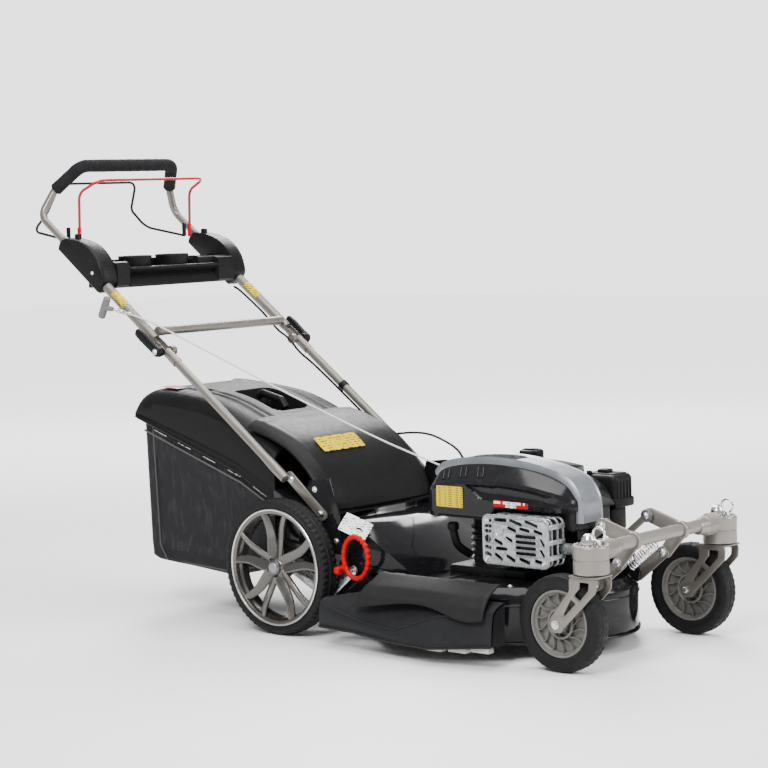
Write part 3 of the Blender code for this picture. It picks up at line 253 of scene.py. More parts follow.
def bright_metal(name, colour, roughness, stretch=(1, 1, 1), mark=0.25):
    """Plated or turned metal with fine lines along one direction and faint tarnish."""
    metal = Finish(name, colour, roughness, 1.0)
    lines = metal.noise(260.0, 3.0, metal.mapped(stretch))
    metal.tint(metal.spread(metal.noise(30.0, 6.0), 0.0, 0.5, 0.45, 0.75), [c * 0.55 for c in colour])
    metal.set("Roughness", metal.spread(lines, roughness - 0.08, roughness + 0.16, 0.3, 0.7))
    return metal.relief(lines, mark, 0.0003)


def cast_metal(name, colour, roughness=0.42):
    """As-cast aluminium: pebbled skin with darker pits."""
    metal = Finish(name, colour, roughness, 0.85)
    pebble = metal.noise(380.0, 4.0)
    metal.tint(metal.spread(metal.noise(45.0, 6.0), 0.0, 0.6, 0.45, 0.8), [c * 0.5 for c in colour])
    metal.set("Roughness", metal.spread(pebble, roughness - 0.1, roughness + 0.18, 0.35, 0.7))
    return metal.relief(pebble, 0.45, 0.0006)


def rope_yarn():
    """Laid white cord: strands that wind round it, seen as slanting ridges, with painted shade darkening the
    grooves between them.
    """
    yarn = Finish("rope_yarn", (0.72, 0.71, 0.68), 0.78)
    strands = yarn.bands(190.0, yarn.mapped((1, 1, 1), (0.3, 0.9, 0.4)), "DIAGONAL")
    # Painted shade: the colour falls to grey where the strand pattern is low, in the grooves between the
    # strands.
    yarn.set("Base Color", yarn.blend(strands, (0.45, 0.44, 0.42), yarn.colour))
    return yarn.relief(strands, 0.6, 0.0008)


def label_print(name, colour, ink, rows):
    """A printed sticker in a colour, with rows of plain bars that stand for print."""
    label = Finish(name, colour, 0.45, 0.0, Specular_IOR_Level=0.12)
    bars = label.bands(rows, label.mapped((1, 1, 1)), "Z")
    gaps = label.noise(120.0, 1.0, label.mapped((1.0, 1.0, 0.05)))
    dark = bars.over(0.72) * gaps.over(0.5)
    label.set("Base Color", label.blend(dark, label.colour, ink))
    label.set("Roughness", label.spread(label.noise(30.0, 3.0), 0.26, 0.40))
    return label


TAUPE = satin_paint("taupe_paint", (0.142, 0.130, 0.116))
CAST_TAUPE = satin_paint("cast_taupe", (0.185, 0.170, 0.154), 0.45)
GLOSS = gloss_paint("gloss_black", (0.006, 0.006, 0.007))
SHROUD = gloss_paint("shroud_black", (0.007, 0.007, 0.008))
BLACK = moulded("black_plastic", (0.0055, 0.0055, 0.006), 0.40)
SMOOTH_BLACK = moulded("smooth_black", (0.007, 0.007, 0.008), 0.33, 1500.0, 0.10)
CHARCOAL = moulded("charcoal_plastic", (0.0125, 0.0127, 0.0138), 0.46, 700.0)
MATTE_RUBBER = moulded("matte_rubber", (0.0105, 0.0102, 0.0102), 0.60, 500.0)
GRIP_GREY = moulded("grip_grey", (0.125, 0.125, 0.13), 0.5)
WELT = moulded("grey_welt", (0.075, 0.074, 0.072), 0.7, 900.0)
TAB_GREY = moulded("tab_grey", (0.36, 0.35, 0.33), 0.5)
WHEEL_GREY = moulded("wheel_grey", (0.118, 0.113, 0.106), 0.40, 1200.0, 0.12)
RED = moulded("red_plastic", (0.36, 0.0, 0.002), 0.30, 1500.0, 0.08)
CRIMSON = gloss_paint("crimson_coat", (0.34, 0.0, 0.008))
RUBBER = rubber_skin()
FOAM = foam_skin()
MESH = mesh_cloth()
CLOTH = plain_cloth()
PIPING = moulded("grey_piping", (0.055, 0.055, 0.058), 0.7, 500.0, 0.4)
GUNMETAL = wheel_paint()
ZINC = bright_metal("zinc_steel", (0.62, 0.62, 0.64), 0.30)
CHROME = bright_metal("chrome", (0.78, 0.78, 0.80), 0.12, mark=0.05)
TURNED = bright_metal("turned_lip", (0.60, 0.58, 0.56), 0.24, (1, 6, 1))
CAST = cast_metal("cast_aluminium", (0.36, 0.37, 0.38), 0.32)
DARK_CAST = cast_metal("engine_black", (0.030, 0.030, 0.032), 0.5)
SILVER = satin_paint("silver_coat", (0.20, 0.21, 0.23), 0.75)
ROPE = rope_yarn()
YELLOW = label_print("yellow_label", (0.56, 0.40, 0.0), (0.02, 0.02, 0.02), 62.0)
WHITE_LABEL = label_print("white_label", (0.78, 0.78, 0.76), (0.05, 0.05, 0.05), 60.0)
RED_LABEL = label_print("red_label", (0.34, 0.0, 0.003), (0.70, 0.70, 0.68), 20.0)
PINK = label_print("pink_label", (0.60, 0.12, 0.18), (0.80, 0.70, 0.70), 40.0)


# ---- Shapes: numpy grids and profiles -------------------------------------------------------------
def piece(name, mesh, finish, body, angle=35.0):
    """Closes, orients and shades a mesh, gives it its finish and hangs it on its body."""
    work = bmesh.new()
    work.from_mesh(mesh)
    bmesh.ops.remove_doubles(work, verts=work.verts, dist=1e-6)
    bmesh.ops.dissolve_degenerate(work, edges=work.edges, dist=1e-7)
    bmesh.ops.recalc_face_normals(work, faces=work.faces)
    work.to_mesh(mesh)
    work.free()
    mesh.materials.clear()
    mesh.materials.append(finish.material)
    mesh.shade_smooth()
    mesh.set_sharp_from_angle(angle=math.radians(angle))
    obj = bpy.data.objects.new(name, mesh)
    bpy.context.scene.collection.objects.link(obj)
    if body:
        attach(obj, body)
    return obj


def surface(name, grid, finish, body, wrap_u=False, wrap_v=False, cap=False, angle=35.0):
    """Quads between neighbours of a grid of points. Either direction may close on itself, and the
    first and last rows may be filled."""
    grid = np.asarray(grid, float)
    rows, cols = grid.shape[:2]
    index = np.arange(rows * cols).reshape(rows, cols)
    u = np.arange(rows if wrap_u else rows - 1)[:, None]
    v = np.arange(cols if wrap_v else cols - 1)[None, :]
    ahead, beside = (u + 1) % rows, (v + 1) % cols
    corners = (index[u, v], index[ahead, v], index[ahead, beside], index[u, beside])
    faces = np.stack(corners, axis=-1).reshape(-1, 4).tolist()
    if cap:
        faces += [index[0][::-1].tolist(), index[-1].tolist()]
    mesh = bpy.data.meshes.new(name)
    mesh.from_pydata((grid.reshape(-1, 3) + ORIGIN).tolist(), [], faces)
    return piece(name, mesh, finish, body, angle)


def together(name, *parts):
    """One object from several, which keeps each part's finish."""
    keep = parts[0]
    with bpy.context.temp_override(active_object=keep, selected_editable_objects=list(parts)):
        bpy.ops.object.join()
    keep.name = name
    return keep


def frames(path, closed=False):
    """Unit tangent, side and up vectors along a path; the side vector is carried from point to
    point with as little turning as it can."""
    path = np.asarray(path, float)
    if closed:
        tangent = np.roll(path, -1, axis=0) - np.roll(path, 1, axis=0)
    else:
        tangent = np.gradient(path, axis=0)
    tangent /= np.linalg.norm(tangent, axis=1, keepdims=True)
    side = np.empty_like(tangent)
    seed = (0, 0, 1) if abs(tangent[0, 2]) < 0.9 else (1, 0, 0)
    side[0] = np.cross(tangent[0], seed)
    for i in range(1, len(path)):
        side[i] = side[i - 1] - tangent[i] * (side[i - 1] @ tangent[i])
    side /= np.linalg.norm(side, axis=1, keepdims=True)
    return tangent, side, np.cross(side, tangent)


def tube(name, path, radius, finish, body, sides=20, closed=False, flat=1.0, angle=35.0):
    """A round bar: at each point of the path a circle of that radius, in the plane across the
    path; flat squeezes it along its up vector."""
    path = np.asarray(path, float)
    _, side, up = frames(path, closed)
    turn = np.arange(sides) * 2 * np.pi / sides
    radius = np.broadcast_to(radius, len(path))[:, None, None]
    ring = (np.cos(turn)[None, :, None] * side[:, None, :]
            + np.sin(turn)[None, :, None] * flat * up[:, None, :])
    return surface(name, path[:, None, :] + radius * ring, finish, body, closed, True, not closed, angle)


def flow(points, count):
    """A smooth line through the points: Catmull-Rom, at even steps of its parameter."""
    ends = np.asarray([points[0], *points, points[-1]], float)
    place = np.linspace(0, len(points) - 1 - 1e-9, count)
    k = place.astype(int)
    t = (place - k)[:, None]
    a, b, c, d = ends[k], ends[k + 1], ends[k + 2], ends[k + 3]
    return 0.5 * (2 * b + (c - a) * t + (2 * a - 5 * b + 4 * c - d) * t ** 2
                  + (3 * b - a - 3 * c + d) * t ** 3)


def bends(points, radius, steps=8, closed=False):
    """Straight runs whose corners are arcs: each arc is the circle of that radius which touches
    both runs, walked evenly by angle."""
    points = [np.asarray(p, float) for p in points]
    count = len(points)
    path = [] if closed else [points[0]]
    for i in range(0 if closed else 1, count if closed else count - 1):
        before, corner, after = points[i - 1], points[i], points[(i + 1) % count]
        back = (before - corner) / np.linalg.norm(before - corner)
        on = (after - corner) / np.linalg.norm(after - corner)
        half = math.acos(np.clip(back @ on, -1, 1)) / 2
        if half > 1.56:
            path.append(corner)
            continue
        size = min(radius, 0.49 * math.tan(half) * min(np.linalg.norm(before - corner),
                                                       np.linalg.norm(after - corner)))
        middle = (back + on) / np.linalg.norm(back + on)
        centre = corner + middle * size / math.sin(half)
        first = corner + back * size / math.tan(half) - centre
        last = corner + on * size / math.tan(half) - centre
        sweep = math.pi - 2 * half
        for t in np.linspace(0, 1, steps):
            path.append(centre + (first * math.sin((1 - t) * sweep) + last * math.sin(t * sweep))
                        / math.sin(sweep))
    return np.array(path if closed else path + [points[-1]])


def lathe(name, profile, centre, axis, finish, body, steps=64, soft=0.0, angle=35.0):
    """A closed (radius, height) outline turned about an axis through centre; soft rounds its
    corners first."""
    outline = bends([(r, h) for r, h in profile], soft, 4, True) if soft else np.array(profile, float)
    turn = np.arange(steps)[:, None] * 2 * np.pi / steps
    r, h = np.maximum(outline[None, :, 0], 0), outline[None, :, 1] + 0 * turn
    a, b = r * np.cos(turn), r * np.sin(turn)
    order = {"X": (h, a, b), "Y": (b, h, a), "Z": (a, b, h)}[axis]
    return surface(name, np.stack(order, -1) + centre, finish, body, True, True, angle=angle)


def pillow(name, low, high, radius, finish, body, steps=24, frame_to=None):
    """A box with round edges: a ball of that radius split along its three mid-planes and pulled
    apart to the box's size."""
    low, high = np.array(low, float), np.array(high, float)
    theta = (np.arange(steps) + 0.5)[None, :] * 2 * np.pi / steps
    phi = (np.arange(steps // 2) + 0.5)[:, None] * np.pi / (steps // 2)
    ball = np.stack([np.sin(phi) * np.cos(theta), np.sin(phi) * np.sin(theta),
                     np.cos(phi) + 0 * theta], -1)
    spread = ball * radius / np.abs(ball).max(axis=(0, 1))
    grid = (low + high) / 2 + np.sign(ball) * ((high - low) / 2 - radius) + spread
    if frame_to is not None:
        grid = frame_to(grid)
    return surface(name, grid, finish, body, False, True, True)


PLANES = {
    "XZ": Matrix(((1, 0, 0, 0), (0, 0, -1, 0), (0, 1, 0, 0), (0, 0, 0, 1))),
    "XY": Matrix.Identity(4),
    "YZ": Matrix(((0, 0, 1, 0), (1, 0, 0, 0), (0, 1, 0, 0), (0, 0, 0, 1))),
}


def plate(name, outline, low, high, plane, finish, body, holes=(), edge=0.0008):
    """A flat outline with holes, thickened from low to high across its plane, with eased edges."""
    curve = bpy.data.curves.new(name, "CURVE")
    curve.dimensions = "2D"
    curve.fill_mode = "BOTH"
    curve.extrude = (high - low) / 2 - edge
    curve.bevel_depth = edge
    curve.bevel_resolution = 1
    curve.offset = -edge
    for points in (outline, *holes):
        spline = curve.splines.new("POLY")
        spline.points.add(len(points) - 1)
        for point, (a, b) in zip(spline.points, points):
            point.co = (a, b, 0, 1)
        spline.use_cyclic_u = True
    shape = bpy.data.objects.new(name, curve)
    bpy.context.scene.collection.objects.link(shape)
    bpy.context.view_layer.update()
    graph = bpy.context.evaluated_depsgraph_get()
    mesh = bpy.data.meshes.new_from_object(shape.evaluated_get(graph))
    bpy.data.objects.remove(shape, do_unlink=True)
    middle = Matrix.Translation((0, 0, (low + high) / 2))
    mesh.transform(Matrix.Translation(ORIGIN) @ PLANES[plane] @ middle)
    return piece(name, mesh, finish, body)


def arc(x, z, radius, start, end, steps=12):
    """Points on an arc in degrees, both ends included."""
    turn = np.radians(np.linspace(start, end, steps + 1))
    return np.stack([x + radius * np.cos(turn), z + radius * np.sin(turn)], -1).tolist()


def capsule(a, b, radius, steps=10, end_radius=None):
    """The outline of a flat bar with round ends."""
    heading = math.degrees(math.atan2(b[1] - a[1], b[0] - a[0]))
    return (arc(*a, radius, heading + 90, heading + 270, steps)
            + arc(*b, end_radius or radius, heading - 90, heading + 90, steps))


def keep_cad(name, finish, bevel=0.0012):
    """A CAD solid that stays: its corners are welded and eased, and it gets a finish."""
    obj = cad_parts[name]
    obj.data.materials.clear()
    obj.data.materials.append(finish.material)
    obj.data.shade_smooth()
    weld = obj.modifiers.new("Weld", "WELD")
    weld.merge_threshold = 0.00001
    if bevel:
        ease = obj.modifiers.new("Bevel", "BEVEL")
        ease.width = bevel
        ease.segments = 2
        ease.limit_method = "ANGLE"
        ease.angle_limit = math.radians(32)
        ease.harden_normals = True
        ease.use_clamp_overlap = True
    return obj


# ---- Floor, light and camera ------------------------------------------------------------------------
AIM = (0.1137, 0.0, 0.5774)
AZIMUTH, ELEVATION, ROLL, DISTANCE = 40.599, 4.728, -1.663, 5.5426


def stage_and_camera():
    mesh = bpy.data.meshes.new("floor")
    mesh.from_pydata([(-14, -14, 0), (14, -14, 0), (14, 14, 0), (-14, 14, 0)], [], [(0, 1, 2, 3)])
    ground = Finish("floor_paint", (0.86, 0.86, 0.86), 0.55)
    ground.set("Roughness", ground.spread(ground.noise(3.0, 4.0), 0.5, 0.62))
    reach = (ground.axis("X").power(2.0) + ground.axis("Y").power(2.0)).power(0.5)
    # Painted glow: the floor's emission rises from none within 1.6 m of its centre to full beyond 5.5 m, so
    # the far floor glows like a white backdrop though it is no lamp.
    ground.set("Emission Color", ground.blend(ground.spread(reach, 0.0, 1.0, 1.6, 5.5), (0, 0, 0), (1, 1, 1)))
    ground.set("Emission Strength", 1.9)
    mesh.materials.append(ground.material)
    floor = bpy.data.objects.new("floor", mesh)
    bpy.context.scene.collection.objects.link(floor)

    world = bpy.data.worlds.new("studio")
    world.use_nodes = True
    tree = world.node_tree
    glow, plain = tree.nodes["Background"], tree.nodes.new("ShaderNodeBackground")
    for shade, strength in ((glow, 0.55), (plain, 2.6)):
        shade.inputs[0].default_value = (1.0, 1.0, 1.0, 1.0)
        shade.inputs[1].default_value = strength
    seen, mix = tree.nodes.new("ShaderNodeLightPath"), tree.nodes.new("ShaderNodeMixShader")
    tree.links.new(seen.outputs["Is Camera Ray"], mix.inputs[0])
    tree.links.new(glow.outputs[0], mix.inputs[1])
    tree.links.new(plain.outputs[0], mix.inputs[2])
    tree.links.new(mix.outputs[0], tree.nodes["World Output"].inputs[0])
    bpy.context.scene.world = world
    for name, place, size, power in (("key", (1.5, -3.5, 3.4), 1.7, 280.0),
                                     ("fill", (4.0, 1.5, 2.2), 2.0, 150.0),
                                     ("back", (-2.5, 3.0, 3.2), 2.2, 240.0),
                                     ("overhead", (0.2, 0.0, 3.6), 2.8, 170.0)):
        light = bpy.data.lights.new(name, "AREA")
        light.size, light.energy = size, power
        lamp = bpy.data.objects.new(name, light)
        lamp.location = place
        lamp.rotation_euler = (Vector((0.1, 0, 0.4)) - Vector(place)).to_track_quat("-Z", "Y").to_euler()
        bpy.context.scene.collection.objects.link(lamp)

    turn, lift, roll = map(math.radians, (AZIMUTH, ELEVATION, ROLL))
    away = Vector((math.sin(turn) * math.cos(lift), -math.cos(turn) * math.cos(lift), math.sin(lift)))
    lens = bpy.data.cameras.new("camera")
    lens.lens, lens.sensor_width = 107.86, 36.0
    lens.clip_end = 60
    eye = bpy.data.objects.new("camera", lens)
    side = (-away).cross(Vector((0, 0, 1))).normalized()
    up = side.cross(-away)
    x = side * math.cos(roll) + up * math.sin(roll)
    y = up * math.cos(roll) - side * math.sin(roll)
    turned = Matrix((x, y, away)).transposed().to_4x4()
    eye.matrix_world = Matrix.Translation(Vector(AIM) + Vector(ORIGIN) + away * DISTANCE) @ turned
    bpy.context.scene.collection.objects.link(eye)
    bpy.context.scene.camera = eye


def finish_cad_nodes():
    """The CAD solids that stay in sight, each with its finish."""
    finishes = {
        GLOSS: ("deck_shell", "rear_housing", "front_bracket", "handle_bracket_right",
                "handle_bracket_left"),
        RUBBER: ("drive_belt",),
        ZINC: ("crankshaft", "blade", "rear_swing_axle", "transmission_pulley"),
        CAST: ("transmission", "flywheel"),
        DARK_CAST: ("engine_block",),
    }
    for finish, names in finishes.items():
        for name in names:
            keep_cad(name, finish, 0.0008)


# ---- Wheels -----------------------------------------------------------------------------------------
def tread_height(u, v, ribs, lugs, slant):
    """Tread pattern over the crown of a tyre, 0 in the grooves and 1 on the blocks. u runs once
    round and v across from -1 to 1. Ribs are the level sets of a cosine across; each shoulder's
    slanted blocks are those of a cosine round, skewed by v."""
    ring = np.clip(1.5 + 3.0 * np.cos(ribs * np.pi * v), 0, 1)
    block = np.clip(0.9 + 3.0 * np.cos(2 * np.pi * (lugs * u + slant * np.abs(v))), 0, 1)
    return np.where(np.abs(v) < 0.45, ring, block)


def tyre(name, centre, radius, width, rim_radius, lugs, body, depth=0.0022):
    """A treaded ring. Its section is a rounded band: radius falls off towards each shoulder by a
    fourth power of v, and the side walls bulge by a sine on the way down to the rim."""
    around, across = 8 * lugs, 25
    u = np.arange(around)[:, None] / around
    v = np.linspace(-1, 1, across)[None, :]
    crown = radius - 0.0035 * v ** 4 - depth * (1 - tread_height(u, v, 3.0, lugs, 0.45))
    half = width / 2
    rows = [np.stack([crown, v * half * 0.93 + 0 * crown], -1)]
    t = np.linspace(0, 1, 9)[1:]
    wall = radius - 0.0045 - (radius - 0.0045 - rim_radius - 0.001) * t
    bulge = half * (0.93 + 0.07 * np.sin(np.pi * np.minimum(t * 1.35, 1)) - 0.06 * t ** 3)
    rise = 0.0007 * np.clip(np.cos(2 * np.pi * t * 3.0), 0, 1)
    down = np.stack([wall, bulge + rise], -1)
    up = np.stack([wall, -bulge - rise], -1)[::-1]
    ring = np.concatenate([rows[0], np.broadcast_to(down, (around, 8, 2)),
                           np.broadcast_to(up, (around, 8, 2))], axis=1)
    turn = 2 * np.pi * u
    grid = np.stack([ring[..., 0] * np.cos(turn), ring[..., 1], ring[..., 0] * np.sin(turn)], -1)
    return surface(name, grid + centre, RUBBER, body, True, True, angle=28.0)


def spoke(name, centre, start, end, widths, thick, out, twist, finish, body, bow=0.0, crown=0.0):
    """One wheel spoke. Its centre line bends sideways by bow times a sine; its section is a flat
    superellipse whose width eases between the three widths, turned by the twist on the way out.
    out gives the section's sideways place at hub, middle and rim."""
    t = np.linspace(0, 1, 15)
    (r0, a0), (r1, a1) = start, end
    r, a = r0 + (r1 - r0) * t, a0 + (a1 - a0) * t + bow * np.sin(np.pi * t)
    line = np.stack([r * np.cos(a), np.interp(t, (0, 0.5, 1), out), r * np.sin(a)], -1)
    _, side, up = frames(line)
    flat = np.cross(np.gradient(line, axis=0), (0, 1, 0))
    flat /= np.linalg.norm(flat, axis=1, keepdims=True)
    axial = np.cross(flat, np.gradient(line, axis=0))
    axial /= np.linalg.norm(axial, axis=1, keepdims=True)
    roll = (twist[0] + (twist[1] - twist[0]) * t)[:, None]
    across, through = (flat * np.cos(roll) + axial * np.sin(roll),
                       axial * np.cos(roll) - flat * np.sin(roll))
    turn = np.arange(16) * 2 * np.pi / 16
    x = np.sign(np.cos(turn)) * np.abs(np.cos(turn)) ** 0.45
    y = np.sign(np.sin(turn)) * np.abs(np.sin(turn)) ** 0.6
    y = y + crown * (1 - x ** 2) * (y > 0)
    w = np.interp(t, (0, 0.5, 1), widths)[:, None, None] / 2
    grid = (line[:, None, :] + w * x[None, :, None] * across[:, None, :]
            + thick / 2 * y[None, :, None] * through[:, None, :])
    return surface(name, grid + centre, finish, body, False, True, True, angle=40.0)


def rear_wheel(word):
    """Treaded tyre, a stepped barrel with a polished lip, a cone hub and five pairs of twisted
    spokes that part towards the rim."""
    s = SIDES[word]
    centre = (0, 0.262 * s, REAR_RADIUS)
    body = f"rear_wheel_{word}"
    rubber = tyre(f"rear_treaded_tyre_{word}", centre, REAR_RADIUS, 0.050, 0.1375, 66, body)
    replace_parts(rubber, f"rear_tyre_{word}")

    def turned(name, profile, finish, soft=0.0012):
        return lathe(name, [(r, h * s) for r, h in profile], centre, "Y", finish, body, 96, soft)
    barrel = turned("barrel", [(0.1372, -0.0225), (0.1372, 0.0215), (0.1335, 0.0235), (0.1275, 0.0215),
                               (0.1255, 0.0120), (0.1215, 0.0060), (0.1215, -0.0150),
                               (0.1290, -0.0225)], GUNMETAL)
    lip = turned("lip", [(0.1392, 0.0212), (0.1392, 0.0246), (0.1375, 0.0262), (0.1348, 0.0250),
                         (0.1335, 0.0215)], TURNED, 0.0008)
    hub = turned("hub", [(0.0, 0.0285), (0.0130, 0.0280), (0.0175, 0.0255), (0.0195, 0.0200),
                         (0.0240, 0.0165), (0.0285, 0.0125), (0.0300, 0.0060), (0.0290, -0.0190),
                         (0.0, -0.0200)], GUNMETAL, 0.0012)
    cap = turned("cap", [(0.0, 0.0312), (0.0105, 0.0304), (0.0130, 0.0285), (0.0130, 0.0265),
                         (0.0, 0.0262)], SILVER, 0.0006)
    parts = [barrel, lip, hub, cap]
    for i in range(5):
        middle = math.radians(90 + 72 * i)
        for way in (-1, 1):
            parts.append(spoke("spoke", centre, (0.022, middle + way * 0.34),
                               (0.1300, middle + way * 0.265), (0.030, 0.0235, 0.0170), 0.0095,
                               (0.013 * s, 0.0115 * s, 0.016 * s), (way * 0.55 * s, way * 0.30 * s),
                               GUNMETAL, body, way * -0.10, 0.5))
        parts.append(spoke("web", centre, (0.020, middle), (0.058, middle), (0.020, 0.016, 0.006),
                           0.006, (0.011 * s, 0.008 * s, 0.006 * s), (0, 0), GUNMETAL, body))
    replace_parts(together(f"twin_spoke_rim_{word}", *parts), f"rear_rim_{word}")


def front_wheel(word):
    """Slim treaded tyre on a two-step rim, fourteen curved fan blades and a capped hub."""
    s = SIDES[word]
    centre = (WHEELBASE, TRACK * s, FRONT_RADIUS)
    body = f"front_wheel_{word}"
    rubber = tyre(f"front_treaded_tyre_{word}", centre, FRONT_RADIUS, 0.044, 0.0745, 44, body, 0.0009)
    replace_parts(rubber, f"front_tyre_{word}")
    parts = []
    for face in (1, -1):
        for name, profile in (
                ("rim", [(0.0748, 0.0), (0.0748, 0.0165), (0.0730, 0.0185), (0.0690, 0.0180),
                         (0.0670, 0.0120), (0.0630, 0.0090), (0.0625, 0.0)]),
                ("ring", [(0.0340, 0.0), (0.0340, 0.0130), (0.0320, 0.0145), (0.0290, 0.0140),
                          (0.0270, 0.0090), (0.0270, 0.0)]),
                ("hub", [(0.0190, 0.0), (0.0190, 0.0140), (0.0165, 0.0170), (0.0120, 0.0180),
                         (0.0075, 0.0180), (0.0075, 0.0)])):
            parts.append(lathe(name, [(r, h * face) for r, h in profile], centre, "Y", WHEEL_GREY, body,
                               72, 0.0008))
    parts.append(lathe("web", [(0.0660, -0.0018), (0.0660, 0.0018), (0.0100, 0.0018), (0.0100, -0.0018)],
                       centre, "Y", WHEEL_GREY, body, 72))
    for i in range(14):
        start = 2 * np.pi * i / 14
        parts.append(spoke("blade", centre, (0.033, start), (0.0645, start + 0.30),
                           (0.0022, 0.0026, 0.0034), 0.0250, (0, 0, 0), (0, 0), WHEEL_GREY, body, 0.14))
    for i in range(7):
        start = 2 * np.pi * i / 7
        parts.append(spoke("rib", centre, (0.0175, start), (0.0285, start), (0.003, 0.003, 0.003),
                           0.022, (0, 0, 0), (0, 0), WHEEL_GREY, body))
    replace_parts(together(f"fan_rim_{word}", *parts), f"front_rim_{word}")


# ---- Deck and housing ----------------------------------------------------------------------------------
def fabric_sag(along, high):
    """Depth of cloth between its frame lines: zero on every edge, deepest a little below middle."""
    return np.sin(np.pi * np.clip(along, 0, 1)) * np.sin(np.pi * np.clip(high, 0, 1) ** 1.3)


def sticker(name, centre, across, up, size, finish, body, lift=0.0006, bow=0.0, stand_off=0.0):
    """A thin printed label: a small grid with rounded corners laid on its surface, bowed along its
    width by a parabola."""
    across, up = np.array(across, float), np.array(up, float)
    across /= np.linalg.norm(across)
    up /= np.linalg.norm(up)
    out = np.cross(across, up)
    u = np.linspace(-1, 1, 13)[:, None]
    v = np.linspace(-1, 1, 9)[None, :]
    shrink = 1 - 0.06 * np.clip(np.abs(u) - 0.8, 0, 1) / 0.2 * np.clip(np.abs(v) - 0.5, 0, 1)
    front = (np.array(centre, float) + out * stand_off + (u * size[0] / 2 * shrink)[..., None] * across
             + (v * size[1] / 2 * shrink)[..., None] * up + (bow * (u * u) + 0 * v)[..., None] * -out)
    back = front - out * lift
    ring = np.concatenate([front, back[:, ::-1]], axis=1)
    return surface(name, ring, finish, body, False, True, True, angle=50.0)


def bolt(name, centre, axis, radius, height, finish, body, sides=6):
    """A hexagon head on a flanged washer; the flat top is slightly domed by a small chamfer."""
    profile = [(0.0, height), (radius * 0.80, height), (radius, height * 0.8), (radius, height * 0.25),
               (radius * 1.35, height * 0.2), (radius * 1.35, 0.0), (0.0, 0.0)]
    axis = np.array(axis, float) / np.linalg.norm(axis)
    seed = (0, 0, 1) if abs(axis[2]) < 0.9 else (1, 0, 0)
    a = np.cross(axis, seed)
    a /= np.linalg.norm(a)
    b = np.cross(axis, a)
    turn = np.arange(4 * sides) * 2 * np.pi / (4 * sides)
    hexagon = np.cos(np.pi / sides) / np.cos((turn % (2 * np.pi / sides)) - np.pi / sides)
    grid = []
    for i, (r, h) in enumerate(profile):
        reach = r * (hexagon if i in (1, 2, 3) else 1.0 + 0 * hexagon)
        grid.append(np.array(centre) + axis * h + reach[:, None] * (np.cos(turn)[:, None] * a
                                                                   + np.sin(turn)[:, None] * b))
    return surface(name, grid, finish, body, False, True, angle=25.0)


# ---- Engine ------------------------------------------------------------------------------------------
TOP_LINE = [(0.345, 0.385), (0.365, 0.402), (0.430, 0.418), (0.520, 0.4235), (0.610, 0.417),
            (0.680, 0.403), (0.730, 0.380), (0.755, 0.345)]


def shroud_height(x):
    """The cowl's crest above each x, a smooth line through its side view's points."""
    fine = flow(TOP_LINE, 200)
    return np.interp(x, fine[:, 0], fine[:, 1])


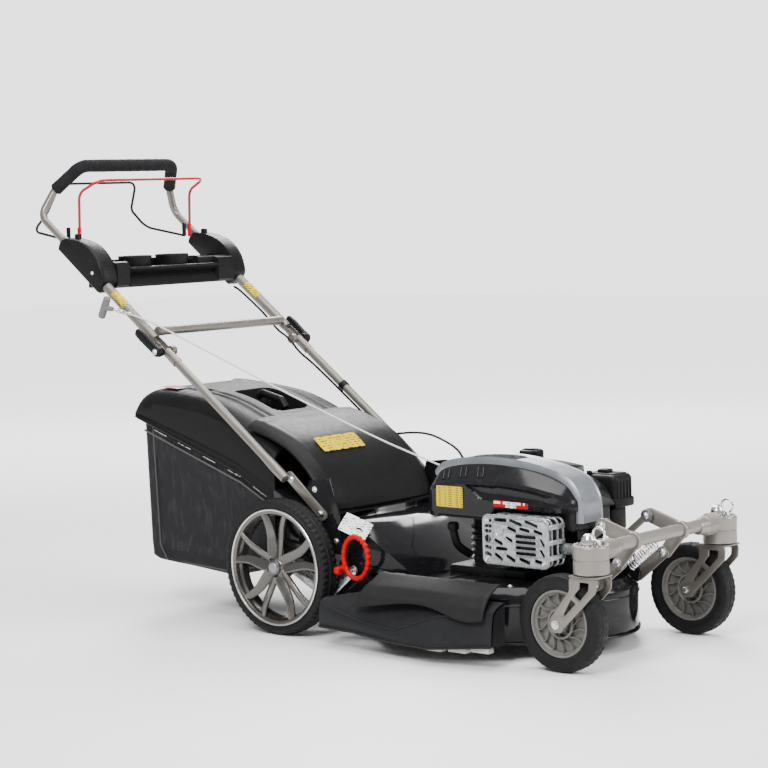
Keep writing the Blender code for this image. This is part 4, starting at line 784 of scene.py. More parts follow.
def engine_cover():
    """The glossy cowl, lofted along the mower: every cross section runs from one lower edge over a
    level top to the other. Its right flank has a slanted shoulder with pockets, a ridge, and a scoop
    whose depth is a sine between the ridge and a falling crease; the ends round off as quarter
    ellipses."""
    x = np.concatenate([0.3485 + 0.036 * (1 - np.cos(np.linspace(0, np.pi / 2, 14))),
                        np.linspace(0.388, 0.690, 150), 0.693 + 0.0600 * np.sin(np.linspace(
                            0.03, np.pi / 2, 18))])
    corner = np.sqrt(np.clip(1 - np.clip((0.3845 - x) / 0.0362, 0, 1) ** 2, 0, 1))
    front = np.sqrt(np.clip(1 - np.clip((x - 0.693) / 0.0602, 0, 1) ** 2, 0, 1))
    right = -0.1495 + 0.034 * (1 - corner) + 0.060 * (1 - front)
    step = np.clip((x - 0.636) / 0.012, 0, 1)
    left = 0.0988 + (0.0415 - 0.0988) * step * step * (3 - 2 * step) - 0.030 * (1 - corner)
    top = shroud_height(x) - 0.0038
    rise = np.clip((x - 0.535) / 0.025, 0, 1)
    foot = 0.2955 + 0.0270 * rise * rise * (3 - 2 * rise)
    foot = np.minimum(foot, top - 0.012)
    drop = np.minimum(0.046, (top - foot) * 0.45)
    v = np.concatenate([np.linspace(0, 1, 9), np.linspace(1, 2, 34)[1:], np.linspace(2, 3, 6)[1:],
                        np.linspace(3, 4, 20)[1:], np.linspace(4, 5, 16)[1:], np.linspace(5, 6, 10)[1:],
                        np.linspace(6, 7, 12)[1:]])
    nodes_y = np.stack([right + 0.002, right, right + 0.0015, right + 0.0075, right + 0.042,
                        0.5 * (right + left) + 0.02, left - 0.012, left])
    nodes_z = np.stack([foot, foot + 0.010, top - drop, top - drop + 0.0085, top - 0.0060,
                        top, top - 0.012, foot])
    y = np.stack([np.interp(v, np.arange(8), nodes_y[:, i]) for i in range(len(x))])
    z = np.stack([np.interp(v, np.arange(8), nodes_z[:, i]) for i in range(len(x))])
    crown = np.clip((v - 3.0) / 4.0, 0, 1)[None, :]
    z += 0.0030 * np.sin(np.pi * crown) * (v[None, :] > 3)
    ridge = (top - drop)[:, None]
    slope = np.clip((x - 0.462) / 0.062, 0, 1)
    crease = (0.374 - 0.033 * slope * slope * (3 - 2 * slope) - 0.012 * np.clip((x - 0.53) / 0.18, 0, 1))
    depth = np.sin(np.pi * np.clip((z - crease[:, None]) / np.maximum(ridge - crease[:, None], 0.004),
                                   0, 1)) ** 0.45
    ends = (np.clip((x - 0.452) / 0.03, 0, 1) * np.clip((0.722 - x) / 0.03, 0, 1))[:, None]
    y += 0.0085 * depth * ends * ((v[None, :] > 1) & (v[None, :] < 2))
    grid = np.stack([x[:, None] + 0 * y, y, z], -1)
    middle = grid.mean(axis=1, keepdims=True)
    grid = np.concatenate([middle[:1] + (grid[:1] - middle[:1]) * 0.02, grid,
                           middle[-1:] + (grid[-1:] - middle[-1:]) * 0.02])
    cover = surface("cowl", grid, SHROUD, "deck", False, True, angle=26.0)
    parts = [cover]

    def on_shoulder(a, share, lift):
        i = int(np.argmin(np.abs(x - a)))
        return (a, np.interp(share, v, y[i]) - lift, np.interp(share, v, z[i]) + lift)
    for c in (0.402, 0.452, 0.502):
        pocket = [[on_shoulder(c + 0.0135 * a - 0.006 * b, 3.50 + 0.30 * b, 0.0004 + lift)
                   for a in (-1, -0.33, 0.33, 1)] for lift in (-0.004, 0.0) for b in (-1, -0.4, 0.4, 1)]
        parts.append(surface("pocket", [*pocket[:4], *pocket[:3:-1]], BLACK, "deck", True, False))
        for shift in (-0.0075, 0.0075):
            parts.append(tube("fin", [on_shoulder(c + shift - 0.006 * b, 3.50 + 0.30 * b, 0.0008)
                                      for b in np.linspace(-1, 1, 9)], 0.0017, SHROUD, "deck", 10))
    parts.append(pillow("baffle", (0.560, -0.112, 0.276), (0.746, 0.036, 0.334), 0.010, DARK_CAST, "deck",
                        24))
    parts.append(tube("seam", [(a, -0.1502 if a < 0.69 else -0.149, float(np.interp(a, x, foot)) + 0.003)
                               for a in np.linspace(0.392, 0.690, 60)], 0.0016, SHROUD, "deck", 8))
    parts.append(sticker("oil", (0.4290, -0.1497, 0.3420), (1, 0, 0), (0, 0, 1), (0.078, 0.048), YELLOW,
                         "deck", stand_off=0.0006))
    parts.append(sticker("note", (0.6040, -0.1490, 0.3335), (1, 0, -0.03), (0, 0, 1), (0.030, 0.0130),
                         WHITE_LABEL, "deck", stand_off=0.0014))
    parts.append(sticker("hot", (0.6040, -0.1490, 0.3335), (1, 0, -0.03), (0, 0, 1), (0.096, 0.0165),
                         RED_LABEL, "deck", stand_off=0.0012))
    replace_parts(together("engine_cowl", *parts), "engine_shroud")


def engine_trim_strip():
    """The silver saddle over the cowl: a strip that follows the crest and folds down at the front,
    with a raised rim on each side and dark slots along its back half."""
    line = flow([(0.352, 0.392), (0.375, 0.412), (0.430, 0.4245), (0.520, 0.4300), (0.610, 0.4235),
                 (0.680, 0.4090), (0.728, 0.3900), (0.7545, 0.3560), (0.7605, 0.3240),
                 (0.7612, 0.2960)], 90)
    t = np.linspace(0, 1, 90)
    left = -0.0155 + 0.040 * np.clip(1 - t * 2.0, 0, 1) ** 1.5
    right = -0.0995 - 0.012 * np.clip(1 - t * 2.2, 0, 1)
    v = np.linspace(0, 1, 33)
    normal = np.gradient(line, axis=0)
    normal = np.column_stack([-normal[:, 1], normal[:, 0]])
    normal /= np.linalg.norm(normal, axis=1, keepdims=True)
    rim = 0.0020 * np.exp(-((v - 0.06) / 0.03) ** 2) + 0.0020 * np.exp(-((v - 0.94) / 0.03) ** 2)
    fall = -0.009 * np.clip(np.abs(v - 0.5) * 2 - 0.90, 0, 1) / 0.10
    well = -0.0022 * (np.clip((v - 0.16) * 40, 0, 1) * np.clip((0.84 - v) * 40, 0, 1))[None, :] \
        * (np.clip((t - 0.10) * 50, 0, 1) * np.clip((0.40 - t) * 50, 0, 1))[:, None]
    lift = rim[None, :] + fall[None, :] + well
    y = left[:, None] + (right - left)[:, None] * v[None, :]
    top = np.stack([line[:, None, 0] + normal[:, None, 0] * lift, y,
                    line[:, None, 1] + normal[:, None, 1] * lift], -1)
    low = top.copy()
    low[..., 0] -= normal[:, None, 0] * 0.010
    low[..., 2] -= normal[:, None, 1] * 0.010
    ring = np.concatenate([top, low[:, ::-1]], axis=1)
    saddle = surface("saddle", ring, SILVER, "deck", False, True, True, angle=30.0)
    parts = [saddle]
    for k in range(6):
        share = 0.24 + 0.104 * k
        rows = range(10, 36)
        spots = [(line[i, 0] - normal[i, 0] * 0.0022, left[i] + (right[i] - left[i]) * share,
                  line[i, 1] - normal[i, 1] * 0.0022) for i in rows]
        parts.append(tube("slot", spots, 0.0026, BLACK, "deck", 10))
    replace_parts(together("engine_saddle", *parts), "engine_trim")


def exhaust_guard():
    """The bright cast guard over the muffler: a rounded frame pierced by level and slanted slots and
    one round hole, with ridges between them, a boss, and bolts at its corners."""
    def at(u, w):
        return (0.553 + 0.184 * u, 0.203 + 0.114 * w)
    outline = bends([(0.5535, 0.2035, 0), (0.7365, 0.2035, 0), (0.7365, 0.3165, 0), (0.5535, 0.3165, 0)],
                    0.014, 7, True)[:, :2].tolist()
    slots = [(0.06, 0.88, 0.13, 0.88), (0.06, 0.77, 0.13, 0.77), (0.06, 0.67, 0.12, 0.67),
             (0.06, 0.36, 0.12, 0.34), (0.06, 0.23, 0.12, 0.20), (0.20, 0.90, 0.36, 0.90),
             (0.43, 0.91, 0.59, 0.84), (0.66, 0.91, 0.82, 0.84), (0.40, 0.76, 0.50, 0.71),
             (0.58, 0.76, 0.70, 0.73), (0.79, 0.74, 0.89, 0.70), (0.20, 0.50, 0.29, 0.44),
             (0.22, 0.34, 0.36, 0.34), (0.37, 0.56, 0.44, 0.51), (0.52, 0.61, 0.79, 0.61),
             (0.52, 0.50, 0.79, 0.50), (0.52, 0.39, 0.79, 0.39), (0.52, 0.28, 0.79, 0.28),
             (0.88, 0.57, 0.92, 0.48), (0.88, 0.36, 0.92, 0.27), (0.20, 0.22, 0.29, 0.13),
             (0.38, 0.21, 0.48, 0.12), (0.57, 0.17, 0.70, 0.11), (0.80, 0.16, 0.90, 0.13)]
    holes = [capsule(at(a, b), at(c, d), 0.0034, 5) for a, b, c, d in slots]
    holes.append(arc(*at(0.085, 0.515), 0.0088, 0, 345, 23))
    parts = [plate("front", outline, 0.1868, 0.1908, "XZ", CAST, "deck", holes, 0.0010)]
    ridges = [(0.16, 0.95, 0.16, 0.05), (0.50, 0.66, 0.84, 0.66), (0.50, 0.555, 0.84, 0.555),
              (0.50, 0.445, 0.84, 0.445), (0.50, 0.335, 0.84, 0.335), (0.50, 0.225, 0.84, 0.225),
              (0.36, 0.83, 0.52, 0.76), (0.33, 0.28, 0.52, 0.16), (0.60, 0.86, 0.78, 0.78),
              (0.845, 0.66, 0.845, 0.22), (0.31, 0.60, 0.46, 0.44)]
    for a, b, c, d in ridges:
        (x0, z0), (x1, z1) = at(a, b), at(c, d)
        parts.append(tube("ridge", [(x0, -0.1906, z0), (0.5 * (x0 + x1), -0.1911, 0.5 * (z0 + z1)),
                                    (x1, -0.1906, z1)], 0.0016, CAST, "deck", 8))
    rim = bends([(0.5570, -0.1890, 0.2070), (0.7330, -0.1890, 0.2070), (0.7330, -0.1890, 0.3130),
                 (0.5570, -0.1890, 0.3130)], 0.012, 8, True)
    parts.append(tube("rim", rim, 0.0040, CAST, "deck", 12, True))
    for depth in (0.172, 0.150, 0.130):
        hoop = rim.copy()
        hoop[:, 1] = -depth
        hoop[:, [0, 2]] = (0.645, 0.260) + (hoop[:, [0, 2]] - (0.645, 0.260)) * 0.975
        parts.append(tube("hoop", hoop, 0.0030, CAST, "deck", 10, True))
    for x, z in ((0.7350, 0.2280), (0.7350, 0.2620), (0.7350, 0.2960), (0.560, 0.2280), (0.560, 0.2960)):
        parts.append(pillow("strut", (x - 0.0028, -0.188, z - 0.0055), (x + 0.0016, -0.128, z + 0.0055),
                            0.0012, CAST, "deck", 12))
    for x in (0.590, 0.645, 0.700):
        for z in (0.2060, 0.3140):
            parts.append(pillow("strut", (x - 0.0060, -0.188, z - 0.0016), (x + 0.0060, -0.128, z + 0.0016),
                                0.0012, CAST, "deck", 12))
    parts.append(lathe("boss", [(0.0118, 0.0), (0.0118, -0.0022), (0.0095, -0.0022), (0.0080, -0.0010),
                                (0.0, -0.0008), (0.0, 0.0)],
                                (*at(0.26, 0.68)[:1], -0.1906, at(0.26, 0.68)[1]),
                       "Y", CAST, "deck", 32))
    for x, z in ((0.5665, 0.2175), (0.5665, 0.3030), (0.7240, 0.3030), (0.7240, 0.2160)):
        parts.append(bolt("bolt", (x, -0.1905, z), (0, -1, 0), 0.0048, 0.0042, ZINC, "deck"))
    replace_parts(together("exhaust_guard", *parts), "muffler_guard")


def exhaust():
    """The muffler behind the guard: a rolled can with ribs, and the outlet pipe with a mouth."""
    can = pillow("can", (0.568, -0.181, 0.2145), (0.7235, -0.1005, 0.3055), 0.018, DARK_CAST, "deck", 32)
    pipe = lathe("pipe", [(0.0130, 0.0), (0.0130, 0.046), (0.0150, 0.048), (0.0150, 0.0535),
                          (0.0112, 0.0535), (0.0104, 0.046), (0.0104, 0.0)],
                 (0.7220, -0.128, 0.243), "X", CAST, "deck", 32, 0.0008)
    ribs = [tube("rib", bends([(x, -0.1815, 0.222), (x, -0.1815, 0.298), (x, -0.105, 0.298),
                               (x, -0.105, 0.222)], 0.016, 5, True), 0.0015, DARK_CAST, "deck", 8, True)
            for x in (0.60, 0.645, 0.69)]
    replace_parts(together("exhaust", can, pipe, *ribs), "muffler")


# ---- Bag, lid and flaps ------------------------------------------------------------------------------
LID_EDGE = [(-0.535, 0.489), (-0.194, 0.372), (-0.066, 0.306)]
SACK_FOOT = [(-0.535, 0.133), (-0.500, 0.120), (-0.248, 0.101), (-0.120, 0.130), (-0.066, 0.212)]


def line_at(points, x):
    xs, zs = np.array(points, float).T
    return np.interp(x, xs, zs)


def bag_sack():
    """The grass bag, one lofted shell: rings round a rounded plan run from the lid's edge down the
    walls, round the foot and in over the bottom. The cloth sags inward between the frame lines by
    a product of sines, and crossing sine waves wrinkle it, strongest near the foot; both fade out
    along the wire frame."""
    plan = bends([(-0.533, -0.1872, 0), (-0.069, -0.1872, 0), (-0.069, 0.1872, 0), (-0.533, 0.1872, 0)],
                 0.022, 9, True)[:, :2]
    ends = np.concatenate([plan, plan[:1]])
    run = np.concatenate([[0], np.cumsum(np.linalg.norm(np.diff(ends, axis=0), axis=1))])
    s = np.arange(260) / 260 * run[-1]
    x, y = np.interp(s, run, ends[:, 0]), np.interp(s, run, ends[:, 1])
    tangent = np.column_stack([np.roll(x, -1) - np.roll(x, 1), np.roll(y, -1) - np.roll(y, 1)])
    tangent /= np.linalg.norm(tangent, axis=1, keepdims=True)
    out = np.column_stack([tangent[:, 1], -tangent[:, 0]])
    flank = np.abs(out[:, 1]) ** 2
    along = flank * (x + 0.533) / 0.464 + (1 - flank) * (y + 0.1872) / 0.3744
    top = line_at(LID_EDGE, x) - 0.005
    foot = line_at(SACK_FOOT, x) + 0.010 + 0.012 * flank * np.sin(np.pi * np.clip(along, 0, 1))
    depth = 0.004 + 0.022 * flank
    rows = []
    for v in np.linspace(0, 1, 46):
        fade = math.sin(math.pi * v) ** 0.5
        folds = (0.45 * np.sin(26 * along + 5 * v + 1.3 * math.sin(7 * v))
                 + 0.35 * np.sin(41 * along - 11 * v + 2.1 * np.sin(5 * along + 3 * v))
                 + 0.75 * v * np.sin(9 * v + 13 * along * v + 17 * along))
        hold = np.clip(np.minimum(along, 1 - along) * 8, 0, 1) * fade
        push = depth * fabric_sag(along, np.full_like(along, v)) + 0.0048 * folds * hold
        taper = 0.006 * v ** 2
        rows.append(np.column_stack([x - out[:, 0] * (push + taper), y - out[:, 1] * (push + taper),
                                     top + (foot - top) * v]))
    centre = np.array([-0.300, 0.0])
    last = rows[-1]
    for k, shrink in enumerate(np.concatenate([np.cos(np.linspace(0.15, 0.6, 6)), np.linspace(0.8, 0.03,
                                                                                            26)])):
        spot = centre + (last[:, :2] - centre) * shrink
        turn_in = 0.010 * (1 - math.exp(-(k + 1) / 2.2))
        wave = 0.0022 * np.sin(31 * spot[:, 0] + 9 * np.sin(23 * spot[:, 1])) * min(1, k / 8)
        rows.append(np.column_stack([spot, line_at(SACK_FOOT, spot[:, 0]) + 0.014 - turn_in + wave]))
    skin = np.stack(rows)
    cloth = surface("grass_bag", skin, MESH, "bag", False, True, angle=60.0)
    mesh = cloth.data
    mesh.materials.append(CLOTH.material)
    low = np.empty(len(mesh.polygons) * 3)
    mesh.polygons.foreach_get("center", low)
    low = low.reshape(-1, 3) - ORIGIN
    sole = (low[:, 2] < line_at(SACK_FOOT, low[:, 0]) + 0.040) & (low[:, 0] < -0.10)
    mesh.polygons.foreach_set("material_index", sole.astype(int))
    hem = cloth.modifiers.new("Thickness", "SOLIDIFY")
    hem.thickness, hem.offset = 0.0016, -1.0
    trim = []
    for sign in (-1, 1):
        y0 = sign * 0.1868
        loop = bends([(-0.5262, y0 * 0.966, 0.478), (-0.5215, y0 * 0.940, 0.160),
                      (-0.505, y0 * 0.945, 0.134),
                      (-0.248, y0 * 0.955, 0.116), (-0.120, y0 * 0.955, 0.144),
                      (-0.074, y0 * 0.960, 0.224), (-0.071, y0, 0.298)], 0.03, 6)
        trim.append(tube("piping", loop, 0.0030, PIPING, "bag", 10))
        seam = bends([(-0.497, y0 * 1.004, 0.470), (-0.488, y0 * 0.985, 0.165),
                      (-0.470, y0 * 0.962, 0.128)], 0.02, 6)
        trim.append(tube("seam", seam, 0.0022, PIPING, "bag", 10))
        for x0 in (-0.470, -0.385, -0.300, -0.215, -0.130):
            z0 = float(line_at(LID_EDGE, x0)) - 0.0155
            rise = 0.021 * float(line_at(LID_EDGE, x0 + 0.01) - line_at(LID_EDGE, x0 - 0.01)) / 0.02
            trim.append(tube("stitch", [(x0 - 0.021, sign * 0.1890, z0 - rise), (x0, sign * 0.1896, z0),
                                        (x0 + 0.021, sign * 0.1890, z0 + rise)],
                             0.0018, WHITE_LABEL, "bag", 8, flat=0.6))
        welt = [(x0, sign * 0.1872, float(line_at(LID_EDGE, x0)) - 0.031)
                for x0 in np.linspace(-0.528, -0.076, 24)]
        trim.append(tube("welt", welt, 0.0026, WELT, "bag", 8))
    trim = together("bag_piping", *trim)
    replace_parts(cloth, "bag_sack")


CROWN = [(-0.546, 0.535), (-0.530, 0.552), (-0.490, 0.560), (-0.387, 0.553), (-0.266, 0.532),
         (-0.131, 0.478), (-0.066, 0.440)]


def bag_lid():
    """The ridged lid: its crest follows the side view's smooth line; across, the height falls off by
    an eighth power to the rolled flange, with two raised ribs and a sunk grip in the middle."""
    crest = flow(CROWN, 240)
    x = np.concatenate([np.linspace(-0.5455, -0.530, 10), np.linspace(-0.526, -0.068, 116)])
    top = np.interp(x, crest[:, 0], crest[:, 1])
    side = 0.2015
    v = np.sin(np.linspace(-1, 1, 97) * np.pi / 2)
    y = side * v
    height = top[:, None] - 0.036 * np.abs(v[None, :]) ** 9 + 0 * y[None, :]
    ribs = np.exp(-((np.abs(y[None, :]) - 0.115) / 0.008) ** 2) * (x[:, None] > -0.50)
    height = height + 0.0045 * ribs
    xs = (x[:, None] + 0.260) / 0.074
    ys = y[None, :] / 0.064
    grip = np.clip((1 - (np.abs(xs) ** 6 + np.abs(ys) ** 6)) * 6, 0, 1)
    height = height - (height - 0.474) * grip
    panel = np.clip((1 - (np.abs((x[:, None] + 0.26) / 0.16) ** 8 + np.abs(ys / 1.5) ** 8)) * 8, 0, 1)
    height = height + 0.004 * panel * (1 - grip)
    edge = line_at(LID_EDGE, x)
    skirt = []
    for t, out in ((0.0, 0.0), (0.35, 0.0006), (0.7, 0.0006), (0.80, 0.0), (0.84, 0.0035),
                   (1.0, 0.0040)):
        skirt.append((t, out))
    crown = np.stack([x[:, None] + 0 * height, y[None, :] + 0 * height, height], -1)
    right = [np.stack([x, 0 * x - side - out, height[:, 0] + (edge + 0.001 - height[:, 0]) * t], -1)
             for t, out in skirt[1:]]
    left = [np.stack([x, 0 * x + side + out, height[:, -1] + (edge + 0.001 - height[:, -1]) * t], -1)
            for t, out in skirt[1:]]
    inner = [np.stack([x, 0 * x + s * (side - 0.004), edge + 0.001], -1) for s in (1, -1)]
    roof = np.stack([x[:, None] + 0 * height, y[None, :] * 0.96 + 0 * height, height - 0.004
                     + 0 * y[None, :]], -1)[:, ::-1]
    roof[..., 2] = np.maximum(roof[..., 2], edge[:, None] + 0.002)
    ring = np.concatenate([np.stack(right[::-1], 1), crown, np.stack(left, 1), inner[0][:, None],
                           roof, inner[1][:, None]], axis=1)
    shell = surface("shell", ring, BLACK, "bag", False, True, True, angle=30.0)
    back = np.stack([np.stack([0 * y + a, y, 0 * y + b if b else height[0] - 0.0006], -1)
                     for a, b in ((-0.5450, 0.4885), (-0.5450, 0), (-0.5400, 0), (-0.5400, 0.4885))], 1)
    back = surface("back", back, BLACK, "bag", False, True, True, angle=30.0)
    rail = bends([(-0.068, -0.2035, 0.309), (-0.194, -0.2035, 0.3745), (-0.537, -0.2035, 0.4915),
                  (-0.5445, -0.196, 0.4945), (-0.5445, 0.196, 0.4945), (-0.537, 0.2035, 0.4915),
                  (-0.194, 0.2035, 0.3745), (-0.068, 0.2035, 0.309)], 0.010, 6)
    flange = tube("flange", rail, 0.0048, BLACK, "bag", 12)
    bar = tube("grip", bends([(-0.305, 0, 0.532), (-0.292, 0, 0.543), (-0.226, 0, 0.527),
                              (-0.212, 0, 0.508)], 0.01, 5), 0.0095, BLACK, "bag", 16)
    badge = sticker("badge", (-0.470, -0.1340, 0.5612), (0.96, 0, -0.06), (0.05, 1, 0.03), (0.060, 0.034),
                    PINK, "bag", stand_off=0.0012)
    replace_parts(together("bag_cover", shell, back, flange, bar, badge), "bag_lid")


FLAP_LINE = [(0.108, 0.280), (0.104, 0.310), (0.080, 0.362), (0.040, 0.410), (-0.015, 0.452),
             (-0.085, 0.482), (-0.150, 0.500)]


def rear_flap():
    """The arched flap over the discharge: the side view's smooth line swept across, rolled down at
    both sides by an eighth power, with a raised border and a hinge barrel in front."""
    line = flow(FLAP_LINE, 72)
    step = np.gradient(line, axis=0)
    out = np.column_stack([step[:, 1], -step[:, 0]])
    out /= np.linalg.norm(out, axis=1, keepdims=True)
    t = np.linspace(0, 1, 72)[:, None]
    v = np.sin(np.linspace(-1, 1, 61) * np.pi / 2)[None, :]
    half = 0.199 - 0.030 * np.clip(1 - t * 5, 0, 1) ** 2 + 0 * t
    near = np.exp(-((np.abs(v) - 0.86) / 0.030) ** 2) * np.clip((t - 0.03) * 20, 0, 1)
    cross = np.exp(-((t - 0.93) / 0.014) ** 2) * (np.abs(v) < 0.86)
    lift = (0.0020 * near + 0.0020 * cross - 0.020 * np.abs(v) ** 10
            - 0.006 * np.exp(-((t - 0.045) / 0.02) ** 2))
    top = np.stack([line[:, None, 0] + out[:, None, 0] * lift, half * v,
                    line[:, None, 1] + out[:, None, 1] * lift], -1)
    low = top - np.stack([out[:, 0], 0 * out[:, 0], out[:, 1]], -1)[:, None, :] * 0.0045
    ring = np.concatenate([top, low[:, ::-1]], axis=1)
    skin = surface("skin", ring, BLACK, "rear_flap", False, True, True, angle=32.0)
    barrels = [tube("barrel", [(0.097, y, 0.283), (0.097, y + w, 0.283)], 0.0068, BLACK, "rear_flap", 20)
               for y, w in ((-0.170, 0.070), (0.100, 0.070))]
    tag = sticker("tag", (0.0095, -0.052, 0.4365), (0, 1, 0), (-0.77, 0, 0.62), (0.150, 0.050), YELLOW,
                  "rear_flap", stand_off=0.0022)
    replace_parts(together("discharge_flap", skin, *barrels, tag), "rear_flap")


# ---- Side discharge ----------------------------------------------------------------------------------
CHUTE = [(0.178, 0.300, 0.112, 0.325, 0.100, 0.328, 0.050),
         (0.300, 0.290, 0.135, 0.335, 0.074, 0.340, 0.049),
         (0.420, 0.2845, 0.140, 0.345, 0.064, 0.352, 0.041),
         (0.530, 0.2845, 0.142, 0.335, 0.105, 0.364, 0.041),
         (0.684, 0.2845, 0.142, 0.325, 0.125, 0.335, 0.055)]


def side_chute():
    """The faceted chute: three edge lines swept between its stations, joined by straight runs that
    are eased into each other, with creases along its edges and four grey tabs."""
    table = np.array(CHUTE)
    x = np.linspace(0.178, 0.684, 90)
    lines = [np.column_stack([x, -np.interp(x, table[:, 0], table[:, k]),
                              np.interp(x, table[:, 0], table[:, k + 1])]) for k in (1, 3, 5)]
    rows = []
    for start, end, count in ((0, 1, 14), (1, 2, 12)):
        for t in np.linspace(0, 1, count, endpoint=start == 1):
            ease = 0.0025 * math.sin(math.pi * t)
            rows.append(lines[start] * (1 - t) + lines[end] * t + (0, -ease, ease))
    skin = np.stack(rows, axis=1)
    foot = skin[:, -1] + (0, -0.0045, -0.001)
    foot_low = foot + (0, 0, -0.004)
    under = skin[:, ::-1] + (0, 0.0040, -0.0030)
    ring = np.concatenate([skin, foot[:, None], foot_low[:, None], under], axis=1)
    body = surface("skin", ring, CHARCOAL, "deck", False, True, True, angle=14.0)

    def cheek(row, thick):
        edge = np.concatenate([skin[row], np.array([[x[row], -0.288, 0.050]])])
        return surface("cheek", np.stack([edge, edge + (thick, 0.001, 0)]), CHARCOAL, "deck", False,
                       True, True)
    parts = [body, cheek(0, 0.004), cheek(-1, -0.004)]
    for x0, drop, out in ((0.440, 0.0325, 0.346), (0.505, 0.0305, 0.350), (0.570, 0.0325, 0.345),
                          (0.628, 0.0365, 0.338)):
        parts.append(pillow("tab", (x0, -out, drop), (x0 + 0.050, 0.020 - out, drop + 0.0125), 0.0025,
                            TAB_GREY, "deck", 16))
    creases = [lines[1][8:78], lines[2][2:]]
    parts += [tube("crease", run + (0, -0.0004, 0.0004), 0.0022, CHARCOAL, "deck", 10) for run in creases]
    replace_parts(together("discharge_chute", *parts), "side_chute")


def side_flap():
    """The sprung cover over the chute: a bent sheet whose lower edge dips in a shallow wave, on two
    hinge loops, with a thickened border."""
    section = bends([(-0.2605, 0.1755, 0), (-0.270, 0.1770, 0), (-0.314, 0.1535, 0),
                     (-0.3345, 0.1325, 0), (-0.3500, 0.1020, 0)], 0.010, 6)[:, :2]
    dist = np.concatenate([[0], np.cumsum(np.linalg.norm(np.diff(section, axis=0), axis=1))])
    t = np.linspace(0, 1, 26)
    yz = np.column_stack([np.interp(t * dist[-1], dist, section[:, k]) for k in (0, 1)])
    step = np.gradient(yz, axis=0)
    out = np.column_stack([step[:, 1], -step[:, 0]])
    out /= np.linalg.norm(out, axis=1, keepdims=True)
    out *= np.sign(out[:, 1:2].sum())
    u = np.linspace(0, 1, 84)[:, None]
    reach = 0.74 + 0.24 * np.exp(-((u - 0.88) / 0.24) ** 2) + 0.20 * np.exp(-(u / 0.30) ** 2)
    tt = t[None, :] * reach
    y = np.interp(tt, t, yz[:, 0])
    z = np.interp(tt, t, yz[:, 1])
    oy, oz = np.interp(tt, t, out[:, 0]), np.interp(tt, t, out[:, 1])
    border = np.exp(-((u - 0.03) / 0.02) ** 2) + np.exp(-((u - 0.97) / 0.02) ** 2)
    border = np.maximum(border, np.exp(-((t[None, :] - 0.95) / 0.05) ** 2))
    lift = 0.0012 * border + 0.0035 * np.exp(-((u - 0.5) / 0.35) ** 2) * np.sin(np.pi * t[None, :])
    x = 0.318 + 0.340 * u + 0.050 * np.clip(t[None, :] - 0.35, 0, 1) * (0.35 * u - 0.65 * (1 - u))
    top = np.stack([x + 0 * y, y + oy * lift, z + oz * lift], -1)
    low = np.stack([x + 0 * y, y - oy * 0.0032, z - oz * 0.0032], -1)
    ring = np.concatenate([top, low[:, ::-1]], axis=1)
    skin = surface("skin", ring, MATTE_RUBBER, "side_flap", False, True, True, angle=30.0)
    loops = [tube("loop", [(c, -0.262, 0.170), (c + 0.030, -0.262, 0.170)], 0.0066, CHARCOAL,
                  "side_flap", 18) for c in (0.355, 0.590)]
    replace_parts(together("chute_cover", skin, *loops), "side_flap")


def height_ring():
    """The ridged red ring that lifts the deck: a tube round a tall oval whose radius swells with
    each finger ridge, on a short arm down to its knob."""
    turn = np.linspace(0, 2 * np.pi, 181)[:-1]
    path = np.stack([0.224 + 0.0375 * np.sin(turn), 0 * turn - 0.2465, 0.198 + 0.0485 * np.cos(turn)], -1)
    inward = np.clip(np.sin(turn + 0.4), 0, 1)
    radius = 0.0062 + 0.0010 * np.sin(22 * turn) * (0.35 + 0.65 * inward)
    hoop = tube("hoop", path, radius, RED, "rear_axle", 20, True)
    arm = tube("arm", flow([(0.192, -0.247, 0.176), (0.178, -0.250, 0.168), (0.170, -0.256, 0.163)], 12),
               np.linspace(0.0070, 0.0085, 12), RED, "rear_axle", 18)
    knob = pillow("knob", (-0.009, -0.0105, -0.009), (0.009, 0.0105, 0.009), 0.006, RED, "rear_axle", 20,
                  lambda g: g + (0.178, -0.257, 0.166))
    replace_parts(together("lift_ring", hoop, arm, knob), "height_ring")


# ---- Handle ------------------------------------------------------------------------------------------
FOLD = np.array([-0.385, 0.0, 0.663])
UPWARD = np.array([-1.0, 0.0, 0.762]) / math.hypot(1.0, 0.762)
FACE = np.array([0.762, 0.0, 1.0]) / math.hypot(1.0, 0.762)


def on_tube(d, side, lift=0.0, out=0.0):
    """A point d up the handle from the fold, lifted off the tubes' plane and set outward."""
    return FOLD + UPWARD * d + FACE * lift + np.array([0, side * (0.239 + out), 0])


